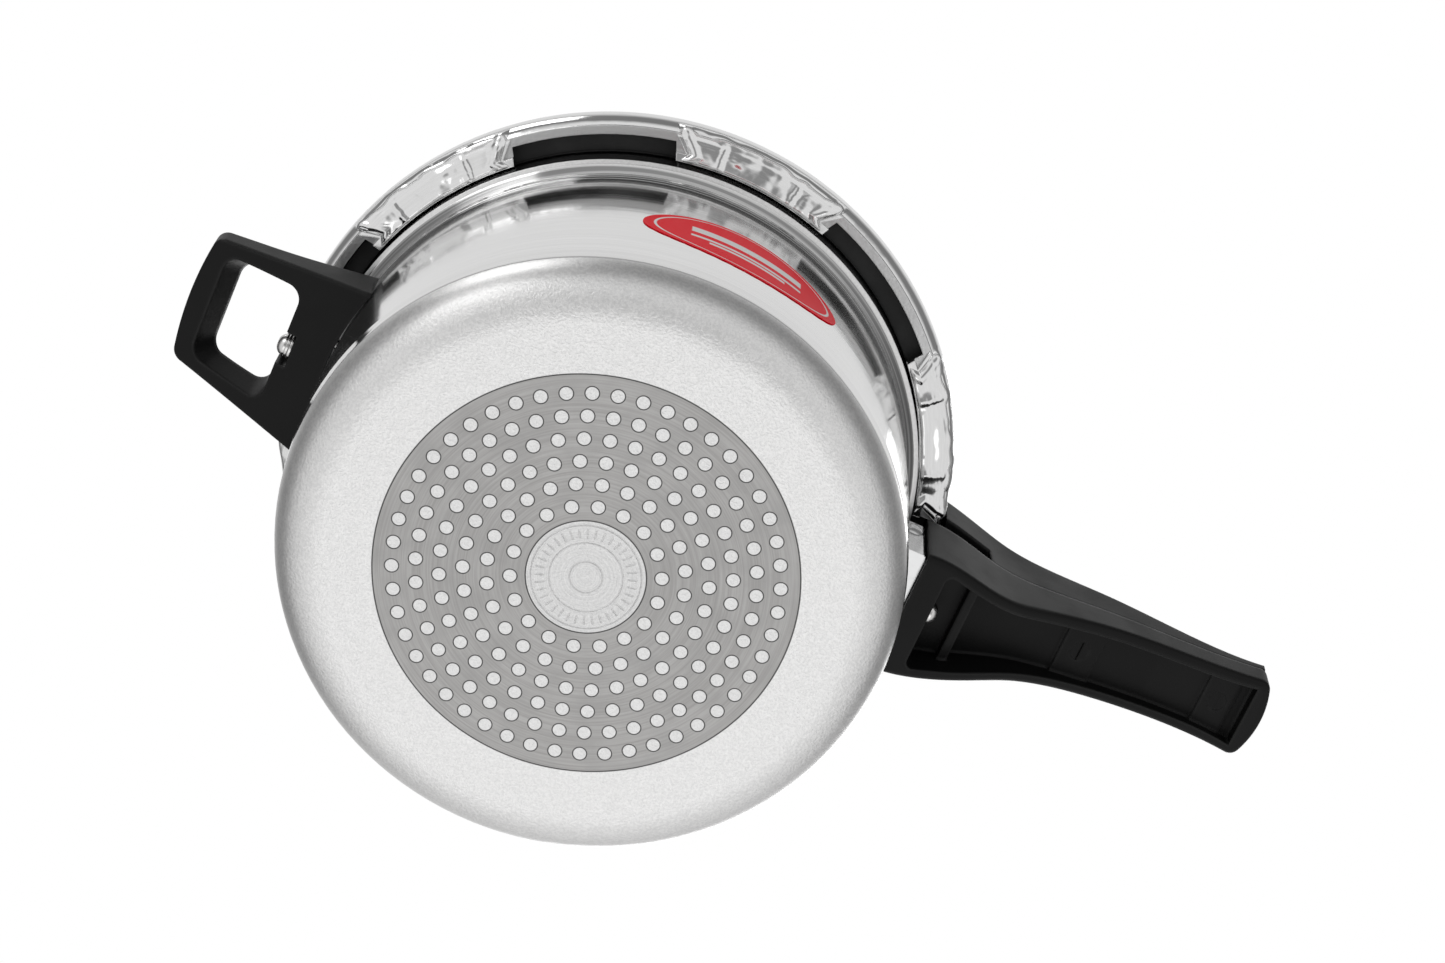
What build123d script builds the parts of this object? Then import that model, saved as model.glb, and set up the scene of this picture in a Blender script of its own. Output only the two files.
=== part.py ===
"""Stovetop pressure cooker with an outer locking lid, 5 litres. One STEP per sub-part.

Millimetres. +Z is up, the origin is the centre of the underside, and +X runs along the two
long handles. The lid turns about +Z to unlock, and the regulator lifts off its vent tube.
"""
import os
from math import cos, radians, sin

from build123d import *

# ---- Pressed vessel -------------------------------------------------------------------------
BASE_FLAT_R = 93.6          # flat part of the underside
CORNER_R = 18.6             # outside bend from the base into the wall
WALL_LOW_R = BASE_FLAT_R + CORNER_R
WALL_MID_R = 113.0          # the wall bellies out slightly at mid height
WALL_TOP_R = 112.0
WALL_MID_Z = 58.0
WALL_TOP_Z = 112.0
WALL_T = 3.0
FLOOR_T = 4.0
NECK_R = 116.5              # outside of the flared neck
NECK_IN_R = 113.3           # mouth of the vessel
NECK_BOTTOM_Z = 122.5
FLANGE_BOTTOM_Z = 132.6
FLANGE_TOP_Z = 135.4
FLANGE_R = 117.2            # rim bead between the flange lugs
FLANGE_LUG_R = 123.0

# ---- Bayonet: six lugs on the flange and six under the lid ---------------------------------------
LUG_COUNT = 6
LUG_PHASE = 33.9            # first lug centre, degrees from +X, with the lid locked
FLANGE_LUG_HALF = 13.0      # half the lug's angle at its outer edge
LID_SLOT_HALF = 16.5        # half the slot's angle at its widest

# ---- Induction plate ---------------------------------------------------------------------------------
PLATE_R = 75.0
PLATE_T = 0.8
CENTRE_DISC_R = 21.2
HOLE_R = 2.5
RING_COUNT = 6
RING_FIRST_R = 26.6
RING_STEP = 8.3
RING_FIRST_HOLES = 18
RING_MORE_HOLES = 6
RING_TURN = (-183.0, -193.0, -199.0, -193.0, -197.5, -200.5)   # start angle of each ring
PRESS_GAP = 0.05            # gap round pieces that are pressed or drawn together

# ---- Lid -----------------------------------------------------------------------------------------
LID_T = 3.0
SKIRT_R = 130.8
SKIRT_Z = 136.7
SKIRT_EDGE_Z = 130.3        # cut edge of the skirt in the slots
LIP_IN_R = 117.8
SHOULDER_R = 121.5
SHOULDER_Z = 147.0
DOME_R = 86.0
DOME_TOP_R = 20.0
DOME_TOP_Z = 169.0

# ---- Handles -------------------------------------------------------------------------------------
ROOT_X = 121.0              # root face of the body handle
HANDLE_END_X = 275.0
HANDLE_GAP = 1.4            # gap between the two long handles
POCKET_WALL = 4.2
SCREW_Z = 97.0              # height of both horizontal handle screws
BODY_SCREW_HEAD_X = 131.0
HELPER_WINDOW_X = -131.0    # root side of the helper handle's window
HELPER_NOTCH_X = -127.0

# ---- Fasteners -----------------------------------------------------------------------------------
BODY_RIVET_ANGLES, BODY_RIVET_Z = (7.2, -7.2), 104.0
HELPER_RIVET_ANGLES, HELPER_RIVET_Z = (175.9, 184.1), 96.5
LID_RIVET_X, LID_RIVET_Y = 98.0, 9.0
M5_R = 2.5
M4_R = 2.0
CLEARANCE = 0.15            # screw shank to clearance hole
RIVET_R = 2.4

# ---- Lid fittings --------------------------------------------------------------------------------
VENT_R = 4.0
VENT_BORE_R = 1.6
VENT_TOP_Z = 200.0
FITTING_R = 5.0             # threaded shank of vent tube and safety valve
VALVE_AT_R = 60.0
VALVE_ANGLE = 135.0
PAD_Z = 162.5               # flat pad for the safety valve
REGULATOR_GAP = 0.25


def polar(radius, angle, z=None):
    """A point at a radius and an angle in degrees, in plan or at a height."""
    if z is None:
        return (radius * cos(radians(angle)), radius * sin(radians(angle)))
    return (radius * cos(radians(angle)), radius * sin(radians(angle)), z)


def wall_arc(grow, z_low, z_high):
    """Three points on the wall's outside, moved out by grow, from z_low up to z_high."""
    run = WALL_TOP_Z - WALL_MID_Z
    points = []
    for z in (z_low, (z_low + z_high) / 2, z_high):
        drop = (WALL_MID_R - WALL_TOP_R) * ((z - WALL_MID_Z) / run) ** 2
        points.append((WALL_MID_R - drop + grow, z))
    return points


def radial_plane(radius, angle, z):
    """A plane on the wall at that radius, facing away from the vessel's axis."""
    return Plane(origin=polar(radius, angle, z), x_dir=(0, 0, 1), z_dir=polar(1, angle, 0))


def finish(builder, name):
    """Label a finished sub-part and write its STEP."""
    builder.part.label = name
    export_step(builder.part, f"parts/{name}.step")


def lug_outline(r_in, r_out, half_in, half_out):
    """Plan of one lug centred on +X: a ring segment with slanted ends."""
    with BuildSketch() as outline:
        with BuildLine():
            Line(polar(r_in, -half_in), polar(r_out, -half_out))
            ThreePointArc(polar(r_out, -half_out), (r_out, 0), polar(r_out, half_out))
            Line(polar(r_out, half_out), polar(r_in, half_in))
            ThreePointArc(polar(r_in, half_in), (r_in, 0), polar(r_in, -half_in))
        make_face()
    return outline.sketch


def ring_holes(ring):
    """Radius, count and start angle of one ring of holes in the induction plate."""
    return RING_FIRST_R + ring * RING_STEP, RING_FIRST_HOLES + ring * RING_MORE_HOLES, RING_TURN[ring]


os.makedirs("parts", exist_ok=True)

# ---- vessel: floor, wall, neck and flange in one revolved section ----------------------------------
INSIDE_CORNER_R = CORNER_R - WALL_T
with BuildPart() as vessel:
    with BuildSketch(Plane.XZ):
        with BuildLine():
            Line((0, 0), (BASE_FLAT_R, 0))
            RadiusArc((BASE_FLAT_R, 0), (WALL_LOW_R, CORNER_R), -CORNER_R)
            Line((WALL_LOW_R, CORNER_R), wall_arc(0, 22, WALL_TOP_Z)[0])
            ThreePointArc(*wall_arc(0, 22, WALL_TOP_Z))
            # Two spun grooves, then the flare up to the neck, a raised bead and the flange
            Polyline(
                (WALL_TOP_R, WALL_TOP_Z), (112.0, 113.6), (111.5, 114.1), (112.0, 114.6),
                (112.0, 116.3), (111.5, 116.8), (112.1, 117.3), (112.5, 118.6), (115.2, 121.6),
                (116.9, NECK_BOTTOM_Z), (NECK_R, 123.8), (NECK_R, 131.4), (FLANGE_R, FLANGE_BOTTOM_Z),
                (FLANGE_R, FLANGE_TOP_Z), (NECK_IN_R, FLANGE_TOP_Z), (NECK_IN_R, 123.6),
                (109.4, 118.2), (WALL_TOP_R - WALL_T, WALL_TOP_Z),
            )
            ThreePointArc(*reversed(wall_arc(-WALL_T, 22, WALL_TOP_Z)))
            Line(wall_arc(-WALL_T, 22, WALL_TOP_Z)[0], (WALL_LOW_R - WALL_T, FLOOR_T + INSIDE_CORNER_R))
            RadiusArc((WALL_LOW_R - WALL_T, FLOOR_T + INSIDE_CORNER_R),
                      (WALL_LOW_R - WALL_T - INSIDE_CORNER_R, FLOOR_T), INSIDE_CORNER_R)
            Polyline((WALL_LOW_R - WALL_T - INSIDE_CORNER_R, FLOOR_T), (0, FLOOR_T), (0, 0))
        make_face()
    revolve(axis=Axis.Z)

    # Flange lugs with slanted ends
    with BuildSketch(Plane.XY.offset(FLANGE_BOTTOM_Z)):
        with PolarLocations(0, LUG_COUNT, start_angle=LUG_PHASE):
            add(lug_outline(NECK_R, FLANGE_LUG_R, FLANGE_LUG_HALF + 2.2, FLANGE_LUG_HALF))
    extrude(amount=FLANGE_TOP_Z - FLANGE_BOTTOM_Z)

    # Recess for the induction plate, with the aluminium drawn through each of its holes
    with BuildSketch(Plane.XY):
        Circle(PLATE_R + PRESS_GAP)
        Circle(CENTRE_DISC_R, mode=Mode.SUBTRACT)
    extrude(amount=PLATE_T, mode=Mode.SUBTRACT)
    with BuildSketch(Plane.XY.offset(PLATE_T)):
        for ring in range(RING_COUNT):
            ring_r, holes, start = ring_holes(ring)
            with PolarLocations(ring_r, holes, start_angle=start):
                Circle(HOLE_R - PRESS_GAP)
    extrude(amount=-PLATE_T)

    # Fine stamped rings and a ring of ticks in the centre disc
    with BuildSketch(Plane.XY):
        for groove_r in (19.6, 13.2, 6.0):
            Circle(groove_r)
            Circle(groove_r - 0.35, mode=Mode.SUBTRACT)
        with PolarLocations(16.4, 36):
            Rectangle(3.2, 0.5)
    extrude(amount=0.15, mode=Mode.SUBTRACT)

    # Rivet holes through the wall for the two handle brackets
    for angles, z in ((BODY_RIVET_ANGLES, BODY_RIVET_Z), (HELPER_RIVET_ANGLES, HELPER_RIVET_Z)):
        for angle in angles:
            with BuildSketch(radial_plane(WALL_TOP_R - 2 * WALL_T, angle, z)):
                Circle(RIVET_R + PRESS_GAP)
            extrude(amount=4 * WALL_T, mode=Mode.SUBTRACT)
finish(vessel, "vessel")


# ---- induction_plate: perforated stainless disc pressed into the underside --------------------------
with BuildPart() as induction_plate:
    with BuildSketch(Plane.XY):
        Circle(PLATE_R)
        Circle(CENTRE_DISC_R + PRESS_GAP, mode=Mode.SUBTRACT)
        for ring in range(RING_COUNT):
            ring_r, holes, start = ring_holes(ring)
            with PolarLocations(ring_r, holes, start_angle=start):
                Circle(HOLE_R, mode=Mode.SUBTRACT)
    extrude(amount=PLATE_T)
finish(induction_plate, "induction_plate")

# ---- front_label: thin oval plate that follows the wall ------------------------------------------
LABEL_LONG, LABEL_HIGH = 78.0, 39.0
LABEL_ANGLE, LABEL_Z, LABEL_T = -84.5, 61.0, 0.3
with BuildPart() as front_label:
    with BuildSketch(Plane.XZ):
        with BuildLine():
            ThreePointArc(*wall_arc(PRESS_GAP, 30, 92))
            Line(wall_arc(PRESS_GAP, 30, 92)[2], wall_arc(LABEL_T, 30, 92)[2])
            ThreePointArc(*reversed(wall_arc(LABEL_T, 30, 92)))
            Line(wall_arc(LABEL_T, 30, 92)[0], wall_arc(PRESS_GAP, 30, 92)[0])
        make_face()
    revolve(axis=Axis.Z)
    with BuildSketch(radial_plane(WALL_LOW_R / 2, LABEL_ANGLE, LABEL_Z)):
        Ellipse(LABEL_HIGH / 2, LABEL_LONG / 2)
    extrude(amount=WALL_LOW_R, mode=Mode.INTERSECT)
finish(front_label, "front_label")

# ---- body_bracket: folded sheet box between the wall and the long handle -------------------------
SHEET_T = 1.6
BRACKET_BACK_R = WALL_MID_R + 0.2
BRACKET_HALF_Y = 24.0
BRACKET_Z = (87.5, 116.5)
DIMPLE_R = 4.2
DIMPLE_H = 1.3
DIMPLE_X, DIMPLE_Z = 115.4, 109.0


def dimple_dish(side):
    """The domed disc of one pressed dimple, standing out of the bracket's side."""
    with BuildPart(mode=Mode.PRIVATE) as dish:
        with BuildSketch(Plane.XZ):
            with BuildLine():
                ThreePointArc((DIMPLE_R, 0), (0.7 * DIMPLE_R, 0.8 * DIMPLE_H), (0, DIMPLE_H))
                Line((0, DIMPLE_H), (0, DIMPLE_H - SHEET_T))
                ThreePointArc((0, DIMPLE_H - SHEET_T), (0.7 * DIMPLE_R, 0.7 * DIMPLE_H - SHEET_T),
                              (DIMPLE_R, -SHEET_T))
                Line((DIMPLE_R, -SHEET_T), (DIMPLE_R, 0))
            make_face()
        revolve(axis=Axis.Z)
    face = Plane(origin=(DIMPLE_X, side * BRACKET_HALF_Y, DIMPLE_Z), x_dir=(1, 0, 0), z_dir=(0, side, 0))
    return face * dish.part


def bracket_back(half_y, z_low, z_high, thickness, side):
    """The bracket's curved plate against the wall, on the +X side or the -X side."""
    with BuildPart(mode=Mode.PRIVATE) as back:
        with BuildSketch(Plane.XY.offset(z_low)):
            Circle(BRACKET_BACK_R + thickness)
            Circle(BRACKET_BACK_R, mode=Mode.SUBTRACT)
            with Locations((side * BRACKET_BACK_R, 0)):
                Rectangle(BRACKET_BACK_R / 2, 2 * half_y, mode=Mode.INTERSECT)
        extrude(amount=z_high - z_low)
    return back.part


dimples = [dimple_dish(side) for side in (-1, 1)]
body_back = bracket_back(BRACKET_HALF_Y, *BRACKET_Z, SHEET_T, 1)
with BuildPart() as body_bracket:
    with BuildSketch(Plane.XY.offset(BRACKET_Z[0])):
        with Locations((ROOT_X - 10, 0)):
            Rectangle(20 - 0.4, 2 * BRACKET_HALF_Y)
    extrude(amount=BRACKET_Z[1] - BRACKET_Z[0])
    fillet(body_bracket.edges().filter_by(Axis.Z).group_by(Axis.X)[-1], 2.0)
    with BuildSketch(Plane.XY.offset(BRACKET_Z[0] + SHEET_T)):
        with Locations((ROOT_X - 10 - SHEET_T, 0)):
            Rectangle(20 - 0.4, 2 * (BRACKET_HALF_Y - SHEET_T))
    extrude(amount=BRACKET_Z[1] - BRACKET_Z[0], mode=Mode.SUBTRACT)
    with BuildSketch(Plane.XY):
        Circle(BRACKET_BACK_R + SHEET_T / 2)
    extrude(amount=2 * BRACKET_Z[1], mode=Mode.SUBTRACT)
    add(body_back)
    # A pressed dimple stiffens each side
    with BuildSketch(Plane.XZ):
        with Locations((DIMPLE_X, DIMPLE_Z)):
            Circle(DIMPLE_R - 0.2)
    extrude(amount=60, both=True, mode=Mode.SUBTRACT)
    for dish in dimples:
        add(dish)
    for angle in BODY_RIVET_ANGLES:
        with BuildSketch(radial_plane(WALL_TOP_R - 2 * WALL_T, angle, BODY_RIVET_Z)):
            Circle(RIVET_R + PRESS_GAP)
        extrude(amount=12, mode=Mode.SUBTRACT)
    with BuildSketch(Plane.YZ.offset(ROOT_X - 6)):
        with Locations((0, SCREW_Z)):
            Circle(M5_R + CLEARANCE)
    extrude(amount=10, mode=Mode.SUBTRACT)
finish(body_bracket, "body_bracket")


# ---- fasteners of the handle brackets ------------------------------------------------------------
RIVET_HEAD_R, RIVET_HEAD_H = 4.0, 1.6


def rivet(r_in, r_out):
    """A rivet on Z that grips from r_in to r_out, with a low domed head at each end."""
    low, high = r_in - RIVET_HEAD_H, r_out + RIVET_HEAD_H
    bulge = 0.25 * RIVET_HEAD_H
    with BuildPart(mode=Mode.PRIVATE) as pin:
        with BuildSketch(Plane.XZ):
            with BuildLine():
                Polyline((0, low), (0, high), (1.2, high))
                ThreePointArc((1.2, high), (3.2, high - bulge), (RIVET_HEAD_R, r_out))
                Polyline((RIVET_HEAD_R, r_out), (RIVET_R, r_out), (RIVET_R, r_in), (RIVET_HEAD_R, r_in))
                ThreePointArc((RIVET_HEAD_R, r_in), (3.2, low + bulge), (1.2, low))
                Line((1.2, low), (0, low))
            make_face()
        revolve(axis=Axis.Z)
    return pin.part


with BuildPart() as body_bracket_rivets:
    for angle in BODY_RIVET_ANGLES:
        body_rivet = rivet(WALL_TOP_R - WALL_T - 0.2, BRACKET_BACK_R + SHEET_T + 0.1)
        add(radial_plane(0, angle, BODY_RIVET_Z) * body_rivet)
finish(body_bracket_rivets, "body_bracket_rivets")


def hex_nut(across_flats, hole_r, thickness, chamfer_in):
    """A hexagon nut standing on XY with its bore on Z and its top corners rounded off."""
    with BuildPart(mode=Mode.PRIVATE) as nut:
        with BuildSketch():
            RegularPolygon(across_flats / 2, 6, major_radius=False)
            Circle(hole_r, mode=Mode.SUBTRACT)
        extrude(amount=thickness)
        with BuildSketch(Plane.XZ):
            with BuildLine():
                Polyline((0, 0), (across_flats, 0), (across_flats, thickness - 2 * chamfer_in),
                         (across_flats / 2 - 0.3, thickness), (0, thickness), (0, 0))
            make_face()
        revolve(axis=Axis.Z, mode=Mode.INTERSECT)
    return nut.part


def dome_screw(shank_r, shank_long, head_r, head_h):
    """A domed screw with a cross recess: the head stands on XY, its shank goes down -Z."""
    edge_z = 0.25 * head_h
    with BuildPart(mode=Mode.PRIVATE) as screw:
        with BuildSketch(Plane.XZ):
            with BuildLine():
                Polyline((0, head_h), (0, -shank_long), (shank_r - 0.4, -shank_long),
                         (shank_r, 0.8 - shank_long), (shank_r, 0), (head_r, 0), (head_r, edge_z))
                ThreePointArc((head_r, edge_z), (0.72 * head_r, 0.76 * head_h), (0.2 * head_r, head_h))
                Line((0.2 * head_r, head_h), (0, head_h))
            make_face()
        revolve(axis=Axis.Z)
        with BuildSketch(Plane.XY.offset(head_h + 1)):
            Rectangle(1.1 * head_r, 0.22 * head_r)
            Rectangle(0.22 * head_r, 1.1 * head_r)
        extrude(amount=-0.45 * head_h - 1, mode=Mode.SUBTRACT)
    return screw.part


def washer(inner_r, outer_r, thickness):
    """A plain washer standing on XY with its outer edges eased."""
    with BuildPart(mode=Mode.PRIVATE) as ring:
        with BuildSketch():
            Circle(outer_r)
            Circle(inner_r, mode=Mode.SUBTRACT)
        extrude(amount=thickness)
        chamfer(ring.edges().filter_by(GeomType.CIRCLE).sort_by(SortBy.RADIUS)[-2:], 0.2)
    return ring.part


OUT_X = Plane(origin=(0, 0, SCREW_Z), x_dir=(0, 1, 0), z_dir=(1, 0, 0))
OUT_MINUS_X = Plane(origin=(0, 0, SCREW_Z), x_dir=(0, 1, 0), z_dir=(-1, 0, 0))
WASHER_T = 1.2
HEAD_R, HEAD_H = 4.6, 3.4

with BuildPart() as body_bracket_nut:
    add(OUT_X.offset(ROOT_X - 0.2 - SHEET_T - 4.0) * hex_nut(8.0, M5_R, 4.0, 0.5))
finish(body_bracket_nut, "body_bracket_nut")

with BuildPart() as body_handle_washer:
    add(OUT_X.offset(BODY_SCREW_HEAD_X) * washer(M5_R + CLEARANCE, 5.2, WASHER_T))
finish(body_handle_washer, "body_handle_washer")

with BuildPart() as body_handle_screw:
    add(OUT_X.offset(BODY_SCREW_HEAD_X + WASHER_T) * dome_screw(M5_R - PRESS_GAP, 17.0, HEAD_R, HEAD_H))
finish(body_handle_screw, "body_handle_screw")

# ---- body_handle: moulded long handle, swan-necked, hollow underneath ----------------------------
ROOT_HALF_Y = 25.6
BAR_HALF_Y = 15.6
END_HALF_Y = 17.4


def handle_plan(shrink, x_start, x_end, end_bow):
    """Plan of a long handle: wide root, waist, slim bar and a slightly flared, bowed end."""
    with BuildSketch() as plan:
        with BuildLine():
            near = Spline((x_start, shrink - ROOT_HALF_Y), (135, shrink - 24.2), (148, shrink - 20.8),
                          (160, shrink - 17.9), (176, shrink - 16.1), (205, shrink - BAR_HALF_Y),
                          (240, shrink - BAR_HALF_Y + 0.2), (257, shrink - BAR_HALF_Y - 0.4),
                          (x_end, shrink - END_HALF_Y))
            ThreePointArc(near @ 1, (x_end + end_bow, 0), (x_end, END_HALF_Y - shrink))
            mirror(near, about=Plane.XZ)
            Line(near @ 0, (x_start, ROOT_HALF_Y - shrink))
        make_face()
    return plan.sketch


def body_top(x_start, x_end):
    """The body handle's top line in XZ, which the lid handle follows at a small gap."""
    return [(x_start, 121.0), (136, 121.0), (151, 121.4), (165, 124.2), (182, 128.6),
            (202, 132.2), (228, 134.6), (252, 135.2), (x_end, 135.2)]


BODY_UNDERSIDE = [(ROOT_X, 84.0), (135, 86.2), (148, 88.4), (160, 93.2), (174, 102.2), (188, 109.6),
                  (205, 115.8), (225, 119.8), (248, 121.8), (HANDLE_END_X + 3, 122.2)]

# The pocket's roof: root chamber, cross rib, and two raised pads with round ejector marks
PAD_IN, PAD_OUT = (189.0, 205.0), (250.0, 263.0)
EJECTOR_MARKS = ((197.0, 120.4, 12.7), (256.5, 127.6, 2.5))
POCKET_ROOF = [(BODY_SCREW_HEAD_X, 106.0), (143.5, 106.0), (143.5, 99.5), (147.0, 99.5), (147.0, 108.0),
               (160.0, 111.0), (174.0, 116.0), (PAD_IN[0], 120.0), (PAD_IN[0], 118.6), (PAD_IN[1], 122.2),
               (PAD_IN[1], 123.8), (228.0, 127.4), (PAD_OUT[0], 128.9), (PAD_OUT[0], 127.3),
               (PAD_OUT[1], 127.9), (PAD_OUT[1], 129.2), (267.5, 129.2)]
with BuildPart() as pocket_space:
    with BuildSketch(Plane.XZ):
        with BuildLine():
            roof = Polyline(*POCKET_ROOF)
            Polyline(roof @ 1, (267.5, 70), (BODY_SCREW_HEAD_X, 70), roof @ 0)
        make_face()
    extrude(amount=40, both=True)
    with BuildSketch(Plane.XY):
        add(handle_plan(POCKET_WALL, BODY_SCREW_HEAD_X, HANDLE_END_X - 7, 1))
    extrude(amount=200, mode=Mode.INTERSECT)
    fillet(pocket_space.edges().filter_by(Axis.Z).group_by(Axis.X)[0], 3.0)
handle_pocket = pocket_space.part

with BuildPart() as body_handle:
    with BuildSketch(Plane.XZ):
        with BuildLine():
            low = Spline(*BODY_UNDERSIDE)
            top = Spline(*body_top(ROOT_X, HANDLE_END_X + 3))
            Line(low @ 0, top @ 0)
            Line(low @ 1, top @ 1)
        make_face()
    extrude(amount=40, both=True)
    with BuildSketch(Plane.XY):
        add(handle_plan(0, ROOT_X, HANDLE_END_X - 4, 4))
    extrude(amount=200, mode=Mode.INTERSECT)
    end_corners = body_handle.edges().filter_by(Axis.Z).group_by(Axis.X)[-1]
    fillet(end_corners, 4.5)
    rim = body_handle.faces().filter_by(lambda f: f.normal_at().Z < -0.3).edges()
    fillet(rim.filter_by_position(Axis.X, ROOT_X + 1, 400), 2.6)
    add(handle_pocket, mode=Mode.SUBTRACT)
    for x, z, slope in EJECTOR_MARKS:
        along, up = cos(radians(slope)), sin(radians(slope))
        with BuildSketch(Plane(origin=(x, 0, z), x_dir=(along, 0, up), z_dir=(-up, 0, along))):
            Circle(4.0)
        extrude(amount=0.4, mode=Mode.SUBTRACT)
    # Clearance hole for the screw through the root wall
    with BuildSketch(Plane.YZ.offset(ROOT_X)):
        with Locations((0, SCREW_Z)):
            Circle(M5_R + CLEARANCE)
    extrude(amount=BODY_SCREW_HEAD_X - ROOT_X, mode=Mode.SUBTRACT)
finish(body_handle, "body_handle")


# ---- helper handle, its bracket and fasteners, opposite the long handles -------------------------
HELPER_ROOT_HALF_Y = 36.0
HELPER_TAPER = 0.165        # half width lost for each millimetre out from the root
HELPER_END_X = -168.0
HELPER_BOX = (-111.0, -121.5, 15.2, 90.5, 102.5)    # root cavity: x in, x out, half y, z low, z high


def helper_half(x):
    """Half width of the helper handle at x."""
    return HELPER_ROOT_HALF_Y + HELPER_TAPER * (x + 107)


with BuildPart() as window_space:
    for z, x_out, half_out, half_root in ((88.0, -172.6, 25.4, 24.6), (121.0, -151.6, 16.4, 20.0)):
        with BuildSketch(Plane.XY.offset(z)):
            with BuildLine():
                Polyline((HELPER_WINDOW_X, -half_root), (x_out, -half_out), (x_out, half_out),
                         (HELPER_WINDOW_X, half_root), (HELPER_WINDOW_X, -half_root))
            make_face()
            fillet(vertices(), 6.0)
    loft()
    with BuildSketch(Plane.XY.offset(80)):
        with Locations(((HELPER_WINDOW_X + HELPER_NOTCH_X) / 2, 0)):
            Rectangle(HELPER_NOTCH_X - HELPER_WINDOW_X + 0.001, 13.0)
    extrude(amount=24.5)
helper_window = window_space.part

with BuildPart() as helper_handle:
    with BuildSketch(Plane.XZ):
        with BuildLine():
            low = Spline((-96, 79.0), (-118, 87.6), (-135, 94.2), (-162, 104.2), (-176, 108.8))
            top = Spline((-96, 104.5), (-118, 106.5), (-138, 109.6), (-160, 115.6), (-176, 119.6))
            Line(low @ 0, top @ 0)
            Line(low @ 1, top @ 1)
        make_face()
    extrude(amount=60, both=True)
    with BuildSketch(Plane.XY):
        with BuildLine():
            end_half = helper_half(HELPER_END_X) - 0.6
            Line((-96, -helper_half(-96)), (HELPER_END_X, -end_half))
            ThreePointArc((HELPER_END_X, -end_half), (HELPER_END_X - 2.4, 0), (HELPER_END_X, end_half))
            Polyline((HELPER_END_X, end_half), (-96, helper_half(-96)), (-96, -helper_half(-96)))
        make_face()
    extrude(amount=200, mode=Mode.INTERSECT)
    fillet(helper_handle.edges().filter_by(Axis.Z).group_by(Axis.X)[0], 5.0)
    rims = helper_handle.faces().filter_by(lambda f: abs(f.normal_at().Z) > 0.6).edges()
    fillet(rims.filter_by_position(Axis.X, -400, -97), 1.8)
    add(helper_window, mode=Mode.SUBTRACT)
    with BuildSketch(Plane.XY):
        Circle(BRACKET_BACK_R - 0.1)
    extrude(amount=200, mode=Mode.SUBTRACT)
    # Root cavity that hides the bracket, and the screw's clearance hole
    x_in, x_out, half_y, z_low, z_high = HELPER_BOX
    with Locations(((x_in + x_out) / 2, 0, (z_low + z_high) / 2)):
        Box(x_in - x_out, 2 * half_y, z_high - z_low, mode=Mode.SUBTRACT)
    with BuildSketch(Plane.YZ.offset(x_out)):
        with Locations((0, SCREW_Z)):
            Circle(M5_R + CLEARANCE)
    extrude(amount=-12, mode=Mode.SUBTRACT)
finish(helper_handle, "helper_handle")

HELPER_SHEET_T = 1.4
HELPER_BRACKET_Z = (91.0, 102.0)
HELPER_BRACKET_HALF_Y = 14.0
HELPER_FACE_X = -121.3
helper_back = bracket_back(HELPER_BRACKET_HALF_Y, *HELPER_BRACKET_Z, HELPER_SHEET_T, -1)
helper_inner_half_y = HELPER_BRACKET_HALF_Y - HELPER_SHEET_T
with BuildPart() as helper_bracket:
    with BuildSketch(Plane.XY.offset(HELPER_BRACKET_Z[0])):
        with Locations((HELPER_FACE_X + 10, 0)):
            Rectangle(20, 2 * HELPER_BRACKET_HALF_Y)
            Rectangle(20 - 2 * HELPER_SHEET_T, 2 * helper_inner_half_y, mode=Mode.SUBTRACT)
        Circle(BRACKET_BACK_R + HELPER_SHEET_T / 2, mode=Mode.SUBTRACT)
    extrude(amount=HELPER_BRACKET_Z[1] - HELPER_BRACKET_Z[0])
    add(helper_back)
    for angle in HELPER_RIVET_ANGLES:
        with BuildSketch(radial_plane(WALL_TOP_R - 2 * WALL_T, angle, HELPER_RIVET_Z)):
            Circle(RIVET_R + PRESS_GAP)
        extrude(amount=9.5, mode=Mode.SUBTRACT)
    with BuildSketch(Plane.YZ.offset(HELPER_FACE_X - 1)):
        with Locations((0, SCREW_Z)):
            Circle(M5_R + CLEARANCE)
    extrude(amount=4, mode=Mode.SUBTRACT)
finish(helper_bracket, "helper_bracket")

with BuildPart() as helper_bracket_rivets:
    for angle in HELPER_RIVET_ANGLES:
        helper_rivet = rivet(WALL_TOP_R - WALL_T - 0.2, BRACKET_BACK_R + HELPER_SHEET_T + 0.1)
        add(radial_plane(0, angle, HELPER_RIVET_Z) * helper_rivet)
finish(helper_bracket_rivets, "helper_bracket_rivets")

with BuildPart() as helper_nut:
    add(OUT_MINUS_X.offset(-HELPER_FACE_X - HELPER_SHEET_T - 4.0) * hex_nut(8.0, M5_R, 4.0, 0.5))
finish(helper_nut, "helper_nut")

helper_stack_x = -HELPER_NOTCH_X + 2 * WASHER_T + 0.1
with BuildPart() as helper_washers:
    for step in (0.0, WASHER_T + 0.1):
        add(OUT_MINUS_X.offset(-HELPER_NOTCH_X + step) * washer(M5_R + CLEARANCE, 4.9 - step / 3, WASHER_T))
finish(helper_washers, "helper_washers")

with BuildPart() as helper_screw:
    add(OUT_MINUS_X.offset(helper_stack_x) * dome_screw(M5_R - PRESS_GAP, 13.8, 4.2, HEAD_H))
finish(helper_screw, "helper_screw")


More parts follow.
